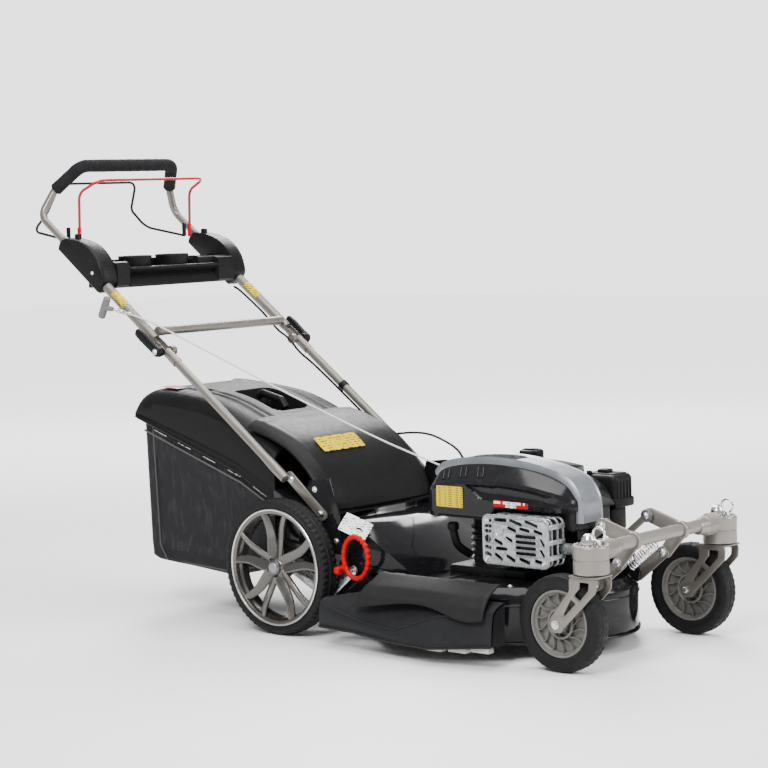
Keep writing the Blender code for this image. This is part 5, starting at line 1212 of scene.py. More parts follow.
def handlebar():
    """Both upper tubes and the bow in one bend, each tube flattened to a channel at its fold, with
    a collar where the narrow bow slides in, and the clamp bolts."""
    parts = []
    bow = bends([on_tube(0.430, -1), on_tube(0.560, -1), (-0.812, -0.206, 1.066), (-0.754, -0.163, 1.128),
                 (-0.754, 0.163, 1.128), (-0.812, 0.206, 1.066), on_tube(0.560, 1), on_tube(0.430, 1)],
                0.035, 10)
    parts.append(tube("bow", bow, 0.0098, TAUPE, "upper_handle", 24))
    for s in (-1, 1):
        parts.append(tube("arm", [on_tube(d, s) for d in (0.047, 0.060, 0.20, 0.44, 0.4535, 0.456)],
                          (0.0120, 0.0128, 0.0128, 0.0128, 0.0126, 0.0112), TAUPE, "upper_handle", 28))
        d = np.linspace(-0.048, 0.062, 24)
        flare = np.interp(d, (-0.048, 0.030, 0.062), (1.0, 1.0, 0.6))
        turn = np.radians(np.linspace(-205, 25, 25))
        outer = np.stack([np.stack([on_tube(a, s, 0.0124 * f * math.sin(w) if math.sin(w) < 0
                                            else 0.017 * f * math.sin(w), 0.0124 * math.cos(w))
                                    for w in turn]) for a, f in zip(d, flare)])
        inner = np.stack([np.stack([on_tube(a, s, 0.0110 * f * math.sin(w) if math.sin(w) < 0
                                            else 0.017 * f * math.sin(w), 0.0110 * math.cos(w))
                                    for w in turn]) for a, f in zip(d, flare)])
        parts.append(surface("channel", np.concatenate([outer, inner[:, ::-1]], axis=1), TAUPE,
                             "upper_handle", False, True, True))
        parts.append(bolt("bolt", on_tube(0.335, s, 0.0, 0.0125), (0, s, 0), 0.0060, 0.0050, ZINC,
                          "upper_handle"))
        parts.append(sleeve_label(s))
    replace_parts(together("handlebar", *parts), "upper_handle")


def sleeve_label(s):
    """A yellow sticker wrapped part way round the tube, with plain bars for print."""
    turn = np.radians(np.linspace(-70, 170, 25)) if s > 0 else np.radians(np.linspace(10, 250, 25))
    d = np.linspace(0.172, 0.226, 8)
    outer = np.stack([np.stack([on_tube(a, s, 0.01325 * math.sin(w), 0.01325 * math.cos(w))
                                for w in turn]) for a in d])
    inner = np.stack([np.stack([on_tube(a, s, 0.0127 * math.sin(w), 0.0127 * math.cos(w))
                                for w in turn]) for a in d])
    return surface("label", np.concatenate([outer, inner[:, ::-1]], axis=1), YELLOW, "upper_handle",
                   False, True, True)


def lower_handle(word):
    """A tube that flattens towards the deck, its bolts, and a plastic clip for the cable."""
    s = SIDES[word]
    path = [on_tube(d, s) for d in (0.0, -0.004, -0.20, -0.40, -0.440, -0.462, -0.487)]
    wide = (0.0092, 0.0106, 0.0106, 0.0106, 0.0125, 0.0125, 0.0118)
    parts = [tube("stay", path, wide, TAUPE, "deck", 28)]
    bar = plate("bar", capsule((0.004, 0.372), (0.106, 0.286), 0.0125, 12), -0.2272 if s > 0 else 0.2212,
                -0.2212 if s > 0 else 0.2272, "XZ", TAUPE, "deck", (), 0.0012)
    parts.append(bar)
    for x, z in ((0.010, 0.367), (0.100, 0.291)):
        parts.append(bolt("bolt", (x, s * 0.2272, z), (0, s, 0), 0.0062, 0.0050, ZINC, "deck"))
    parts.append(lathe("spacer", [(0.0120, 0.0), (0.0120, 0.0145), (0.0, 0.0145), (0.0, 0.0)],
                       (-0.385, 0.2125 if s > 0 else -0.2270, 0.663), "Y", TAUPE, "deck", 28))
    if word == "left":
        parts.append(tube("clip", [on_tube(-0.205, s), on_tube(-0.190, s)], 0.0128, BLACK, "deck", 20))
    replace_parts(together(f"lower_stay_{word}", *parts), f"lower_handle_{word}")


def handle_brace():
    """The cross tube between the upper tubes, with a short sleeve at each end."""
    y = np.array([-0.2255, -0.216, -0.205, -0.19, -0.10, 0, 0.10, 0.19, 0.205, 0.216, 0.2255])
    wide = np.where(np.abs(y) > 0.21, 0.0105, 0.011)
    bar = tube("bar", [(-0.430, a, 0.710) for a in y], wide, TAUPE, "upper_handle", 28)
    sleeves = [tube("sleeve", [(-0.430, s * 0.205, 0.710), (-0.430, s * 0.223, 0.710)], 0.0118, TAUPE,
                    "upper_handle", 28) for s in (-1, 1)]
    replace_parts(together("cross_tube", bar, *sleeves), "handle_brace")


def foam_grip():
    """The foam sleeve on the bow: a tube slightly slack over its length, with thickened ends and a
    parting line along the inside."""
    path = bends([(-0.811, -0.2055, 1.067), (-0.754, -0.163, 1.128), (-0.754, 0.163, 1.128),
                  (-0.811, 0.2055, 1.067)], 0.035, 14)
    run = np.concatenate([[0], np.cumsum(np.linalg.norm(np.diff(path, axis=0), axis=1))])
    even = np.linspace(0, run[-1], 120)
    path = np.stack([np.interp(even, run, path[:, k]) for k in range(3)], axis=1)
    t = np.linspace(0, 1, 120)
    ends = np.minimum(t, 1 - t) * run[-1]
    radius = (0.0163 + 0.0003 * np.sin(70 * t) * np.sin(33 * t) + 0.0006 * np.exp(-(ends / 0.006) ** 2)
              - 0.004 * np.exp(-(ends / 0.0015) ** 2))
    grip = tube("foam_sleeve", path, radius, FOAM, "upper_handle", 32, angle=40.0)
    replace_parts(grip, "grip_foam")


def bail(name, half, radius, finish, body, node):
    """A bent wire on two feet. Half of it is given, and its mirror image closes it."""
    points = [(x, -y, z) for x, y, z in half] + [(x, y, z) for x, y, z in half[::-1]]
    wire = tube(name, bends(points, 0.030, 14), radius, finish, body, 16)
    x, y, z = half[0]
    feet = [pillow("foot", (x - 0.0055, s * y - 0.0042, z - 0.002), (x + 0.0055, s * y + 0.0042, z + 0.034),
                   0.0030, finish, body, 14) for s in (-1, 1)]
    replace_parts(together(name, wire, *feet), node)


def cam_lever(word):
    """The folding clamp: a tapered lever with finger ridges and a domed hub."""
    s = SIDES[word]
    v = np.linspace(0, 1, 40)
    d = -0.014 + 0.099 * v
    wide = 0.0125 * np.interp(v, (0, 0.10, 0.30, 0.75, 0.95, 1), (0.45, 1.0, 0.92, 0.98, 0.78, 0.35))
    deep = 0.0085 * np.interp(v, (0, 0.06, 0.5, 0.95, 1), (0.4, 1.0, 0.86, 0.75, 0.3))
    ridge = 0.0011 * (np.cos(2 * np.pi * 7 * v) > 0) * ((v > 0.42) & (v < 0.92))
    turn = np.arange(28) * 2 * np.pi / 28
    a = np.sign(np.cos(turn)) * np.abs(np.cos(turn)) ** 0.5
    b = np.sign(np.sin(turn)) * np.abs(np.sin(turn)) ** 0.6
    lift = 0.004 * v ** 1.6
    grid = np.stack([np.stack([on_tube(d[i], s, wide[i] * a[k],
                                       0.031 + lift[i] + (deep[i] + (ridge[i] if b[k] > 0.6 else 0)) * b[k])
                               for k in range(28)]) for i in range(40)])
    lever = surface("lever", grid, BLACK, f"cam_lever_{word}", False, True, True)
    hub = lathe("hub", [(0.0, 0.0245), (0.0085, 0.0240), (0.0115, 0.021), (0.0120, 0.0), (0.0, 0.0)],
                on_tube(0, s, 0, 0.0165) * (1, 1, 1), "Y", BLACK, f"cam_lever_{word}", 32, 0.001) \
        if s > 0 else lathe("hub", [(0.0, -0.0245), (0.0085, -0.0240), (0.0115, -0.021), (0.0120, 0.0),
                                    (0.0, 0.0)], on_tube(0, s, 0, 0.0165), "Y", BLACK,
                            f"cam_lever_{word}", 32, 0.001)
    nut = bolt("nut", on_tube(0, s, 0, 0.0400), (0, s, 0), 0.0058, 0.0040, ZINC, f"cam_lever_{word}")
    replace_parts(together(f"fold_clamp_{word}", lever, hub, nut), f"cam_lever_{word}")


def starter_handle():
    """The pull grip: a ribbed bar with domed ends on a flared neck, and its guide spring."""
    up = np.array([0.45, 0.0, 0.89]) / math.hypot(0.45, 0.89)
    centre = np.array([-0.5665, -0.273, 0.7705])
    t = np.linspace(-1, 1, 44)
    radius = (0.0094 * (1 - np.abs(t) ** 9 * 0.55) + 0.0004 * np.cos(34 * t)
              + 0.0012 * np.exp(-((np.abs(t) - 0.86) / 0.08) ** 2))
    bar = tube("bar", centre + up * (t * 0.0300)[:, None], radius, GRIP_GREY, "starter_grip", 24)
    neck = tube("neck", flow([(-0.5650, -0.273, 0.7700), (-0.552, -0.273, 0.7685),
                              (-0.5355, -0.273, 0.7662)], 14), np.linspace(0.0088, 0.0050, 14),
                GRIP_GREY, "starter_grip", 20)
    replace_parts(together("pull_grip", bar, neck), "starter_grip")
    turn = np.linspace(0, 2 * np.pi * 7, 240)
    along = np.linspace(0, 1, 240)
    start, end = np.array([-0.5290, -0.2700, 0.7640]), np.array([-0.5010, -0.2585, 0.7560])
    line = end - start
    axis = line / np.linalg.norm(line)
    side = np.cross(axis, (0, 0, 1))
    side /= np.linalg.norm(side)
    over = np.cross(side, axis)
    coil = (start + along[:, None] * line + 0.0050 * (np.cos(turn)[:, None] * side
                                                      + np.sin(turn)[:, None] * over))
    tail = flow([end + 0.0050 * side, end + 0.004 * side + (0.004, 0.009, 0.002), (-0.4950, -0.2480, 0.7540),
                 (-0.4960, -0.2430, 0.7500)], 14)
    wire = tube("coil", np.concatenate([coil, tail[1:]]), 0.00125, CHROME, "upper_handle", 8)
    eye = tube("eye", bends([(-0.530, -0.270, 0.7655), (-0.527, -0.262, 0.7650),
                             (-0.5290, -0.252, 0.7700)], 0.004, 6), 0.0016, CHROME, "upper_handle", 8)
    together("rope_guide_spring", wire, eye)


def console():
    """The control console: a dished tray with two cup wells whose walls rise as cones, a front
    pocket, and a rounded cheek over each tube."""
    x = np.linspace(-0.690, -0.5985, 48)
    y = np.linspace(-0.2105, 0.2105, 170)
    gx, gy = np.meshgrid(x, y, indexing="ij")
    height = np.where((gy > -0.158) & (gy < 0.094), 0.8650, 0.884)
    edge = np.minimum(np.minimum(gx + 0.690, -0.5985 - gx), 0.2105 - np.abs(gy))
    height -= 0.004 * np.clip(1 - edge / 0.004, 0, 1) ** 2
    for cy in (-0.092, 0.040):
        far = np.hypot(gx + 0.641, gy - cy)
        height = np.where(far < 0.0385, 0.8215, height)
    dish = np.clip((1 - (np.abs((gx + 0.641) / 0.038) ** 6 + np.abs((gy - 0.145) / 0.050) ** 6)) * 6, 0, 1)
    height -= 0.012 * dish
    slab = np.clip((1 - (np.abs((gx + 0.641) / 0.040) ** 6 + np.abs((gy + 0.172) / 0.030) ** 6)) * 6, 0, 1)
    height -= 0.008 * slab
    top = np.stack([gx, gy, height], -1)
    low = np.stack([gx, gy, np.minimum(height - 0.004, 0.8160 + 0 * height)], -1)[:, ::-1]
    tray = surface("tray", np.concatenate([top, low], axis=1), BLACK, "upper_handle", False, True, True,
                   angle=30.0)
    parts = [tray]
    front = [[(-0.5985, 0.882), (-0.5850, 0.8795), (-0.5815, 0.872), (-0.5805, 0.845), (-0.5820, 0.822),
              (-0.5900, 0.8155), (-0.5985, 0.8155)]]
    outline = np.array(front[0])
    ys = np.array([-0.2105, -0.168, -0.1655, 0.1505, 0.153, 0.2105])
    cut = np.array([0, 0, 1, 1, 0, 0]) * 0.0160
    rows = []
    for yy, deep in zip(ys, cut):
        ring = [(px - (deep if 0.825 < pz < 0.862 and px > -0.59 else 0), yy,
                 pz - (0.0165 if deep and pz > 0.87 else 0)) for px, pz in outline]
        rows.append(ring)
    parts.append(surface("face", rows, BLACK, "upper_handle", False, True, True, angle=25.0))
    parts.append(pillow("sill", (-0.5975, -0.166, 0.8160), (-0.5790, 0.151, 0.8235), 0.0030, BLACK,
                        "upper_handle", 16))
    parts.append(pillow("back", (-0.6900, -0.170, 0.8250), (-0.6850, 0.170, 0.8850), 0.0022, BLACK,
                        "upper_handle", 16))
    parts.append(pillow("brow", (-0.5975, -0.166, 0.8585), (-0.5795, 0.151, 0.8665), 0.0030, BLACK,
                        "upper_handle", 16))
    for cy in (-0.092, 0.040):
        parts.append(lathe("well", [(0.0, 0.8195), (0.0375, 0.8195), (0.0415, 0.8560), (0.0428, 0.8860),
                                    (0.0440, 0.8905), (0.0425, 0.8935), (0.0400, 0.8925),
                                    (0.0385, 0.8850), (0.0352, 0.8250), (0.0, 0.8235)],
                           (-0.641, cy, 0), "Z", BLACK, "upper_handle", 72))
    profile = flow([(0.262, -0.021), (0.258, 0.000), (0.264, 0.022), (0.300, 0.0475), (0.345, 0.0555),
                    (0.390, 0.0455), (0.440, 0.0185), (0.450, -0.004), (0.446, -0.020)], 52)
    for s in (-1, 1):
        rows = []
        for out, shrink in ((-0.0282, 0.93), (-0.0270, 1.0), (0.0110, 1.0), (0.0180, 0.965),
                            (0.0208, 0.90), (0.0212, 0.5), (0.0212, 0.02)):
            middle = profile.mean(axis=0)
            spot = middle + (profile - middle) * shrink
            rows.append([on_tube(d, s, lift, out) for d, lift in spot])
        rows.insert(0, [on_tube(*(lambda m: (m[0], s, m[1], -0.0282))(
            profile.mean(axis=0) + (point - profile.mean(axis=0)) * 0.02)) for point in profile])
        parts.append(surface("cheek", rows, BLACK, "upper_handle", False, True, True, angle=38.0))
        parts.append(pillow("stop", (-0.008, -0.006, -0.010), (0.008, 0.006, 0.010), 0.003, BLACK,
                            "upper_handle", 14, lambda g, s=s: g + on_tube(0.425, s, 0.030, -0.012)))
        parts.append(bolt("screw", on_tube(0.305, s, 0.010, 0.0205), (0, s, 0), 0.0042, 0.0030, ZINC,
                          "upper_handle"))
    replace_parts(together("control_console", *parts), "console")


def cord_run(name, points, radius, finish, body, node, count=120, ribs=0.0):
    """A cord along a smooth line through its points; ribs makes its jacket wavy."""
    path = flow(points, count)
    wide = radius * (1 + ribs * np.cos(np.arange(count) * 2.2))
    line = tube(name, path, wide, finish, body, 14)
    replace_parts(line, node)
    return line


def cords():
    """Starter rope and the control cable's two runs, each along its own smooth line."""
    cord_run("pull_rope", [(-0.5340, -0.2725, 0.7655), (-0.500, -0.258, 0.7555), (-0.430, -0.236, 0.7300),
                           (-0.300, -0.200, 0.668), (-0.150, -0.160, 0.596), (0.020, -0.117, 0.518),
                           (0.180, -0.079, 0.449), (0.344, -0.042, 0.388)], 0.0021, ROPE, "deck",
             "starter_rope", 240, 0.06)
    cord_run("upper_cable", [on_tube(d, 1, lift, out) for d, lift, out in (
        (0.262, -0.030, 0.0), (0.235, -0.027, 0.004), (0.150, -0.024, 0.004), (0.085, -0.021, -0.006),
        (0.045, -0.010, -0.024), (0.014, 0.0, -0.034), (0.0008, 0.0, -0.034))], 0.0030, SMOOTH_BLACK,
        "upper_handle", "control_cable_upper")
    cord_run("lower_cable", [on_tube(d, 1, lift, out) for d, lift, out in (
        (-0.0008, 0.0, -0.034), (-0.014, 0.0, -0.034), (-0.045, -0.010, -0.024), (-0.090, -0.018, -0.004),
        (-0.180, -0.018, 0.0), (-0.300, -0.018, 0.0))] + [
        (-0.100, 0.219, 0.428), (0.030, 0.203, 0.436), (0.110, 0.165, 0.440), (0.200, 0.110, 0.436),
        (0.290, 0.060, 0.418), (0.342, 0.035, 0.372)], 0.0030, SMOOTH_BLACK, "deck",
        "control_cable_lower", 200)


# ---- Front end ---------------------------------------------------------------------------------------
CASTER_X, BEAM_Z = 0.894, 0.268
UPPER_EYE, LOWER_EYE = (0.812, 0.296), (0.853, 0.216)
REAR_UPPER, REAR_LOWER = (0.744, 0.240), (0.785, 0.160)


def dome_bolt(centre, way, radius, body, height=0.0045):
    """A zinc bolt seen along Y: a domed head on a washer, its height an ellipse over its radius."""
    t = np.linspace(0, np.pi / 2, 7)
    profile = [(0.0, 0.0), (radius * 1.45, 0.0), (radius * 1.45, 0.0012), (radius, 0.0016)]
    profile += [(radius * math.cos(a), 0.0016 + height * math.sin(a)) for a in t[1:-1]]
    profile += [(0.0, 0.0016 + height)]
    return lathe("bolt", [(r, h * way) for r, h in profile], centre, "Y", ZINC, body, 24)


def front_beam():
    """The cast beam: a cross tube, finned sleeves and two-part hubs with a toothed crown and a
    bright cap, and on each side a pair of arms that hold the link eyes."""
    body = "front_beam"
    parts = [lathe("bar", [(0.0145, -0.195), (0.0145, 0.195), (0.0, 0.195), (0.0, -0.195)],
                   (CASTER_X, 0, BEAM_Z), "Y", CAST_TAUPE, body, 32)]
    for s in (-1, 1):
        y = s * TRACK
        hub = [(0.0, 0.2205), (0.0125, 0.2195), (0.0300, 0.2195), (0.0380, 0.2200), (0.0392, 0.2225),
               (0.0388, 0.2480), (0.0376, 0.2492), (0.0376, 0.2506), (0.0390, 0.2520), (0.0394, 0.2770),
               (0.0380, 0.2800), (0.0330, 0.2805), (0.0318, 0.2770), (0.0180, 0.2765), (0.0, 0.2765)]
        parts.append(lathe("hub", hub, (CASTER_X, y, 0), "Z", CAST_TAUPE, body, 72, 0.0006))
        for k in range(22):
            a = 2 * np.pi * k / 22
            spot = np.array([CASTER_X + 0.0352 * math.cos(a), y + 0.0352 * math.sin(a), 0.2812])
            parts.append(pillow("tooth", (-0.0017, -0.0017, -0.0028), (0.0017, 0.0017, 0.0022), 0.0008,
                                ZINC, body, 8, lambda g, spot=spot: g + spot))
        cap = [(0.0, 0.2760), (0.0170, 0.2765), (0.0170, 0.2850), (0.0155, 0.2940), (0.0115, 0.3010),
               (0.0055, 0.3045), (0.0, 0.3050)]
        parts.append(lathe("cap", cap, (CASTER_X - 0.006, y, 0), "Z", CHROME, body, 40, 0.0008))
        t = np.linspace(0, 1, 60)
        reach = y - s * (0.025 + 0.072 * t)
        ridges = 0.0012 * (np.cos(2 * np.pi * 8 * t) > 0.2) * (t < 0.62)
        wide = np.interp(t, (0, 0.62, 0.70, 0.95, 1), (0.0245, 0.0208, 0.0200, 0.0172, 0.0160)) + ridges
        parts.append(tube("sleeve", np.column_stack([0 * t + CASTER_X, reach, 0 * t + BEAM_Z - 0.003]),
                          wide, CAST_TAUPE, body, 32, angle=40.0))
        low, high = sorted((s * 0.0880, s * 0.0980))
        for eye, wide, trim in ((UPPER_EYE, 0.0165, 0.0), (LOWER_EYE, 0.0150, 0.0005)):
            parts.append(plate("arm", capsule((CASTER_X, BEAM_Z), eye, 0.0175, 12, wide),
                               -high + trim, -low - trim, "XZ", CAST_TAUPE, body, (), 0.0022))
            parts.append(dome_bolt((eye[0], s * 0.0975, eye[1]), s, 0.0075, body))
            inner = 0.0752 if eye == UPPER_EYE else 0.0790
            parts.append(dome_bolt((eye[0], s * inner, eye[1]), -s, 0.0075, body))
        parts.append(lathe("collar", [(0.0190, -0.0075), (0.0205, -0.0040), (0.0205, 0.0040),
                                      (0.0190, 0.0075), (0.0140, 0.0075), (0.0140, -0.0075)],
                           (CASTER_X, s * 0.093, BEAM_Z), "Y", CAST_TAUPE, body, 32, 0.0008))
    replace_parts(together("cast_beam", *parts), "front_beam")


def lift_links():
    """The bent upper loop, two flat lower links with domed bolts and the lift spring's coil."""
    arm = 0.0795
    loop = bends([(UPPER_EYE[0] - 0.004, -arm, UPPER_EYE[1] - 0.003), (REAR_UPPER[0], -arm, REAR_UPPER[1]),
                  (REAR_UPPER[0], arm, REAR_UPPER[1]), (UPPER_EYE[0] - 0.004, arm, UPPER_EYE[1] - 0.003)],
                 0.012, 8)
    parts = [tube("loop", loop, 0.0078, TAUPE, "upper_link", 20)]
    for s in (-1, 1):
        parts.append(lathe("eye", [(0.0140, -0.0042), (0.0146, -0.0030), (0.0146, 0.0030),
                                   (0.0140, 0.0042), (0.0054, 0.0042), (0.0054, -0.0042)],
                           (UPPER_EYE[0], s * arm, UPPER_EYE[1]), "Y", TAUPE, "upper_link", 32, 0.0008))
    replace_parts(together("upper_loop", *parts), "upper_link")
    for word, s in SIDES.items():
        body = f"lower_link_{word}"
        low, high = sorted((s * 0.0790, s * 0.0855))
        strap = plate("strap", capsule(REAR_LOWER, LOWER_EYE, 0.0145, 12), -high, -low, "XZ", TAUPE, body,
                      (arc(*REAR_LOWER, 0.0056, 0, 340, 17), arc(*LOWER_EYE, 0.0056, 0, 340, 17)), 0.0015)
        head = dome_bolt((REAR_LOWER[0], s * 0.0852, REAR_LOWER[1]), s, 0.0078, body)
        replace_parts(together(f"lower_strap_{word}", strap, head), f"lower_link_{word}")
    start, end = np.array([0.800, 0.030, 0.188]), np.array([0.868, 0.030, 0.246])
    axis = (end - start) / np.linalg.norm(end - start)
    side, over = np.array([0, 1.0, 0]), np.cross((0, 1.0, 0), axis)
    t = np.linspace(0, 1, 420)
    turn = 2 * np.pi * 12 * t
    coil = (start + t[:, None] * (end - start) + 0.0108 * (np.cos(turn)[:, None] * side
                                                          + np.sin(turn)[:, None] * over))
    spring = tube("lift_coil", coil, 0.0018, CHROME, "deck", 8)
    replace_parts(spring, "lift_spring")


def caster_fork(word):
    """A stamped fork: two cheeks with a knee, a window in it and a slim slot below, under a
    turned-down bridge; its axle bolt and the hub's pull ring."""
    s = SIDES[word]
    body, y = f"caster_{word}", s * TRACK
    x = CASTER_X

    def soft(points, radius=0.006):
        return bends([(a, b, 0) for a, b in points], radius, 5, True)[:, :2].tolist()
    cheek = soft([(x - 0.0385, 0.2150), (x + 0.0325, 0.2150), (x + 0.0300, 0.1840), (x - 0.004, 0.1490),
                  (x - 0.0560, 0.0985), (x - 0.0600, 0.0905), (x - 0.0850, 0.0880), (x - 0.0930, 0.1100),
                  (x - 0.0880, 0.1220), (x - 0.0385, 0.1840)], 0.011)
    window = soft([(x - 0.0120, 0.2040), (x + 0.0130, 0.2040), (x + 0.0115, 0.1880), (x - 0.0110, 0.1640),
                   (x - 0.0260, 0.1740), (x - 0.0125, 0.1890)], 0.003)
    slit = soft([(x - 0.0340, 0.1650), (x - 0.0220, 0.1570), (x - 0.0600, 0.1200)], 0.002)
    axle = arc(WHEELBASE, FRONT_RADIUS, 0.0064, 0, 340, 17)
    parts = []
    for low, high in ((y - 0.0302, y - 0.0262), (y + 0.0262, y + 0.0302)):
        parts.append(plate("cheek", cheek, -high, -low, "XZ", TAUPE, body, (window, slit, axle), 0.0010))
    parts.append(pillow("bridge", (x - 0.0395, y - 0.0302, 0.2122), (x + 0.0335, y + 0.0302, 0.2170),
                        0.0020, TAUPE, body, 24))
    parts.append(lathe("stem", [(0.0, 0.2150), (0.0200, 0.2150), (0.0200, 0.2185), (0.0120, 0.2188),
                                (0.0120, 0.2680), (0.0, 0.2680)], (x, y, 0), "Z", ZINC, body, 32))
    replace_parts(together(f"stamped_fork_{word}", *parts), f"caster_fork_{word}")
    pin = lathe("pin", [(0.0, -0.0300), (0.0058, -0.0300), (0.0058, 0.0300), (0.0, 0.0300)],
                (WHEELBASE, y, FRONT_RADIUS), "Y", ZINC, body, 24)
    heads = [bolt("nut", (WHEELBASE, y + way * 0.0303, FRONT_RADIUS), (0, way, 0), 0.0072, 0.0058, ZINC, body)
             for way in (-1, 1)]
    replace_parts(together(f"axle_bolt_{word}", pin, *heads), f"caster_axle_{word}")
    lock = f"swivel_lock_{word}"
    shank = lathe("shank", [(0.0, 0.2625), (0.0046, 0.2625), (0.0046, 0.2870), (0.0062, 0.2880),
                            (0.0062, 0.2910), (0.0, 0.2915)], (x + 0.021, y, 0), "Z", CHROME, lock, 24)
    turn = np.linspace(0, 2 * np.pi, 49)[:-1]
    ring = tube("ring", np.stack([x + 0.021 + 0.0150 * np.cos(turn), 0 * turn + y,
                                  0.3045 + 0.0150 * np.sin(turn)], -1), 0.0028, CHROME, lock, 12, True)
    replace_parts(together(f"pull_ring_{word}", shank, ring), lock)


# ---- Engine's smaller pieces ---------------------------------------------------------------------------
def air_filter():
    """The filter housing in front: a ribbed box with a stepped lid and a snap tab."""
    box = pillow("box", (0.6555, 0.0530, 0.2560), (0.7350, 0.1150, 0.3115), 0.008, BLACK, "deck", 32)
    ribs = [pillow("rib", (0.6700 + 0.016 * i, 0.0520, 0.2600), (0.6725 + 0.016 * i, 0.1155, 0.3090),
                   0.001, BLACK, "deck", 12) for i in range(4)]
    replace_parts(together("filter_box", box, *ribs), "air_filter_box")
    body = "air_filter_lid"
    parts = [pillow("lid", (0.6515, 0.0470, 0.3180), (0.7500, 0.1205, 0.3855), 0.012, BLACK, body, 40),
             pillow("skirt", (0.6500, 0.0460, 0.3110), (0.7520, 0.1215, 0.3330), 0.005, BLACK, body, 32),
             pillow("panel", (0.6640, 0.0580, 0.3800), (0.7400, 0.1100, 0.3880), 0.003, BLACK, body, 24),
             pillow("tab", (0.6850, 0.0700, 0.3830), (0.7120, 0.0960, 0.3955), 0.003, BLACK, body, 20),
             pillow("lug", (0.6690, 0.0500, 0.3830), (0.6790, 0.0600, 0.3930), 0.002, BLACK, body, 16)]
    for i in range(5):
        parts.append(pillow("rib", (0.7495, 0.0560 + 0.0125 * i, 0.3200),
                            (0.7520, 0.0590 + 0.0125 * i, 0.3720), 0.0012, BLACK, body, 12))
    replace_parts(together("filter_lid", *parts), "air_filter_lid")


def fuel():
    """The tank behind the cowl and its ribbed cap, whose radius steps with the sign of a cosine."""
    tank = pillow("tank", (0.3520, 0.1008, 0.3000), (0.5600, 0.1680, 0.3940), 0.022, BLACK, "deck", 40)
    band = pillow("band", (0.3510, 0.1005, 0.3420), (0.5610, 0.1690, 0.3480), 0.0025, BLACK, "deck", 32)
    neck = lathe("neck", [(0.0, 0.380), (0.0235, 0.380), (0.0225, 0.3985), (0.0, 0.3985)],
                 (0.450, 0.136, 0), "Z", BLACK, "deck", 40)
    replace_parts(together("petrol_tank", tank, band, neck), "fuel_tank")
    turn = np.arange(180) * 2 * np.pi / 180
    rows = []
    for r, z, rib in ((0.0, 0.4000, 0), (0.0265, 0.4000, 0), (0.0282, 0.4015, 1), (0.0282, 0.4170, 1),
                      (0.0265, 0.4205, 0.6), (0.0220, 0.4225, 0), (0.0190, 0.4205, 0), (0.0, 0.4200, 0)):
        wide = r + 0.0007 * rib * np.sign(np.cos(30 * turn))
        rows.append(np.stack([0.450 + wide * np.cos(turn), 0.136 + wide * np.sin(turn), z + 0 * turn], -1))
    cap = surface("cap", rows, BLACK, "fuel_cap", False, True, angle=28.0)
    bar = pillow("bar", (0.4300, 0.1320, 0.4190), (0.4700, 0.1400, 0.4240), 0.002, BLACK, "fuel_cap", 16)
    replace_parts(together("petrol_cap", cap, bar), "fuel_cap")


def engine_block():
    """The cast block under the cowl stays; cooling fins, an oil filler with its dipstick, and a plug
    lead with its boot are added round it."""
    parts = []
    for k in range(7):
        z = 0.175 + 0.0145 * k
        parts.append(lathe("fin", [(0.0870, -0.0014), (0.0945, -0.0010), (0.0945, 0.0010),
                                   (0.0870, 0.0014)], (0.490, 0, z), "Z", DARK_CAST, "deck", 72))
    for k in range(8):
        x = 0.592 + 0.0165 * k
        if x < 0.716:
            parts.append(pillow("fin", (x, -0.0480, 0.170), (x + 0.0030, 0.0480, 0.2820), 0.0012,
                                DARK_CAST, "deck", 12))
    parts.append(tube("filler", flow([(0.430, -0.080, 0.200), (0.418, -0.110, 0.225),
                                      (0.412, -0.118, 0.262)], 16), 0.0095, BLACK, "deck", 18))
    parts.append(lathe("dipstick", [(0.0, 0.0), (0.0135, 0.0), (0.0135, 0.012), (0.0100, 0.0165),
                                    (0.0, 0.0165)], (0.412, -0.118, 0.262), "Z", BLACK, "deck", 24, 0.001))
    parts.append(tube("lead", flow([(0.724, -0.010, 0.262), (0.742, -0.014, 0.266), (0.748, -0.040, 0.282),
                                    (0.736, -0.066, 0.300)], 24), 0.0036, SMOOTH_BLACK, "deck", 12))
    parts.append(pillow("boot", (0.718, -0.019, 0.253), (0.742, -0.001, 0.272), 0.004, SMOOTH_BLACK,
                        "deck", 16))
    for x, y in ((0.430, -0.062), (0.550, -0.062), (0.430, 0.062), (0.550, 0.062)):
        parts.append(bolt("bolt", (x, y, 0.1725), (0, 0, 1), 0.0062, 0.0055, ZINC, "deck"))
    together("engine_fittings", *parts)


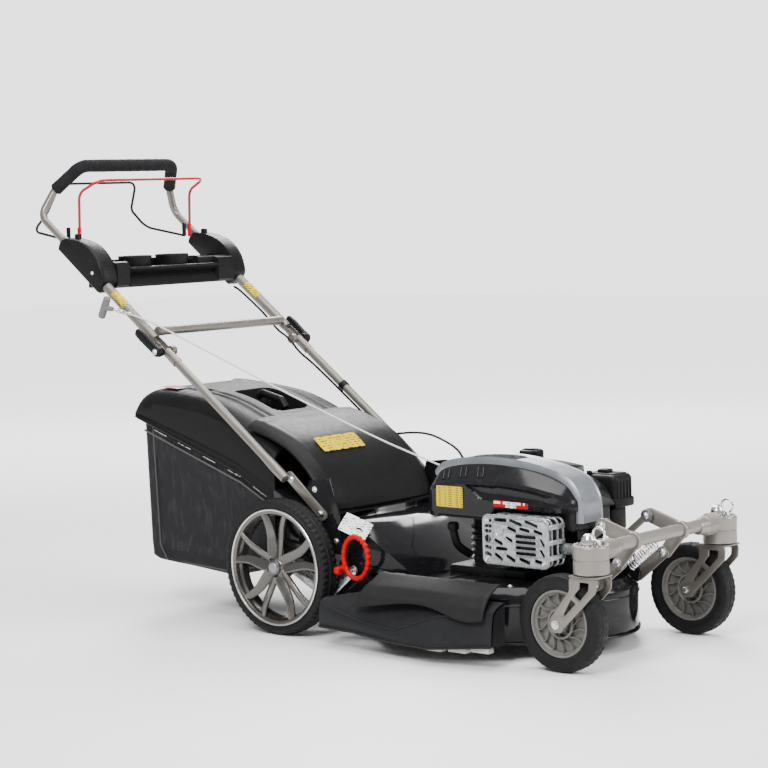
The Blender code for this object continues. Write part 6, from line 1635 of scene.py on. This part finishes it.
def deck_trim():
    """Beads along the deck's foot and shoulder, which follow its plan: a circle whose radius has a
    tenth-power cosine nose; a flange bolt row and a paper label on the housing."""
    angle = np.radians(np.linspace(-96, 96, 150))
    radius = 0.280 + 0.035 * np.maximum(np.cos(angle), 0) ** 10
    foot = np.stack([0.490 + (radius + 0.0010) * np.cos(angle), (radius + 0.0010) * np.sin(angle),
                     0 * angle + 0.0380], -1)
    band = np.stack([0.490 + (radius + 0.0002) * np.cos(angle), (radius + 0.0002) * np.sin(angle),
                     0 * angle + 0.1220], -1)
    keep = np.abs(np.degrees(angle)) < 62
    parts = [tube("foot", foot, 0.0030, GLOSS, "deck", 12), tube("band", band[keep], 0.0022, GLOSS,
                                                                "deck", 10)]
    for a in (-54, -40, -26, 26, 40, 54):
        r = 0.280 + 0.035 * max(math.cos(math.radians(a)), 0) ** 10 - 0.034
        parts.append(bolt("bolt", (0.490 + r * math.cos(math.radians(a)), r * math.sin(math.radians(a)),
                                   0.1600), (0, 0, 1), 0.0055, 0.0045, ZINC, "deck"))
    parts.append(sticker("paper", (0.1960, -0.2130, 0.2640), (1, 0, -0.30), (0, 0.72, 0.69), (0.085, 0.050),
                         WHITE_LABEL, "deck"))
    for s in (-1, 1):
        for x, z in ((0.142, 0.228), (0.078, 0.345), (0.046, 0.240)):
            parts.append(bolt("bolt", (x, s * 0.2202, z), (0, s, 0), 0.0055, 0.0042, ZINC, "deck"))
    together("deck_fittings", *parts)


def build():
    """Every piece, from the ground up."""
    for word in SIDES:
        rear_wheel(word)
        front_wheel(word)
        lower_handle(word)
        cam_lever(word)
        caster_fork(word)
    front_beam()
    lift_links()
    air_filter()
    fuel()
    engine_block()
    deck_trim()
    engine_cover()
    engine_trim_strip()
    exhaust_guard()
    exhaust()
    bag_lid()
    bag_sack()
    rear_flap()
    side_chute()
    side_flap()
    height_ring()
    handlebar()
    handle_brace()
    foam_grip()
    bail("brake_lever_wire", [(-0.731, 0.198, 0.936), (-0.727, 0.198, 1.058), (-0.661, 0.190, 1.089)],
         0.0036, CRIMSON, "brake_bail", "brake_bail")
    bail("drive_lever_wire", [(-0.762, 0.208, 0.937), (-0.905, 0.201, 0.962), (-0.906, 0.150, 1.010),
                              (-0.868, 0.136, 1.084)], 0.0034, SMOOTH_BLACK, "drive_bail", "drive_bail")
    console()
    starter_handle()
    cords()


stage_and_camera()
finish_cad_nodes()
build()
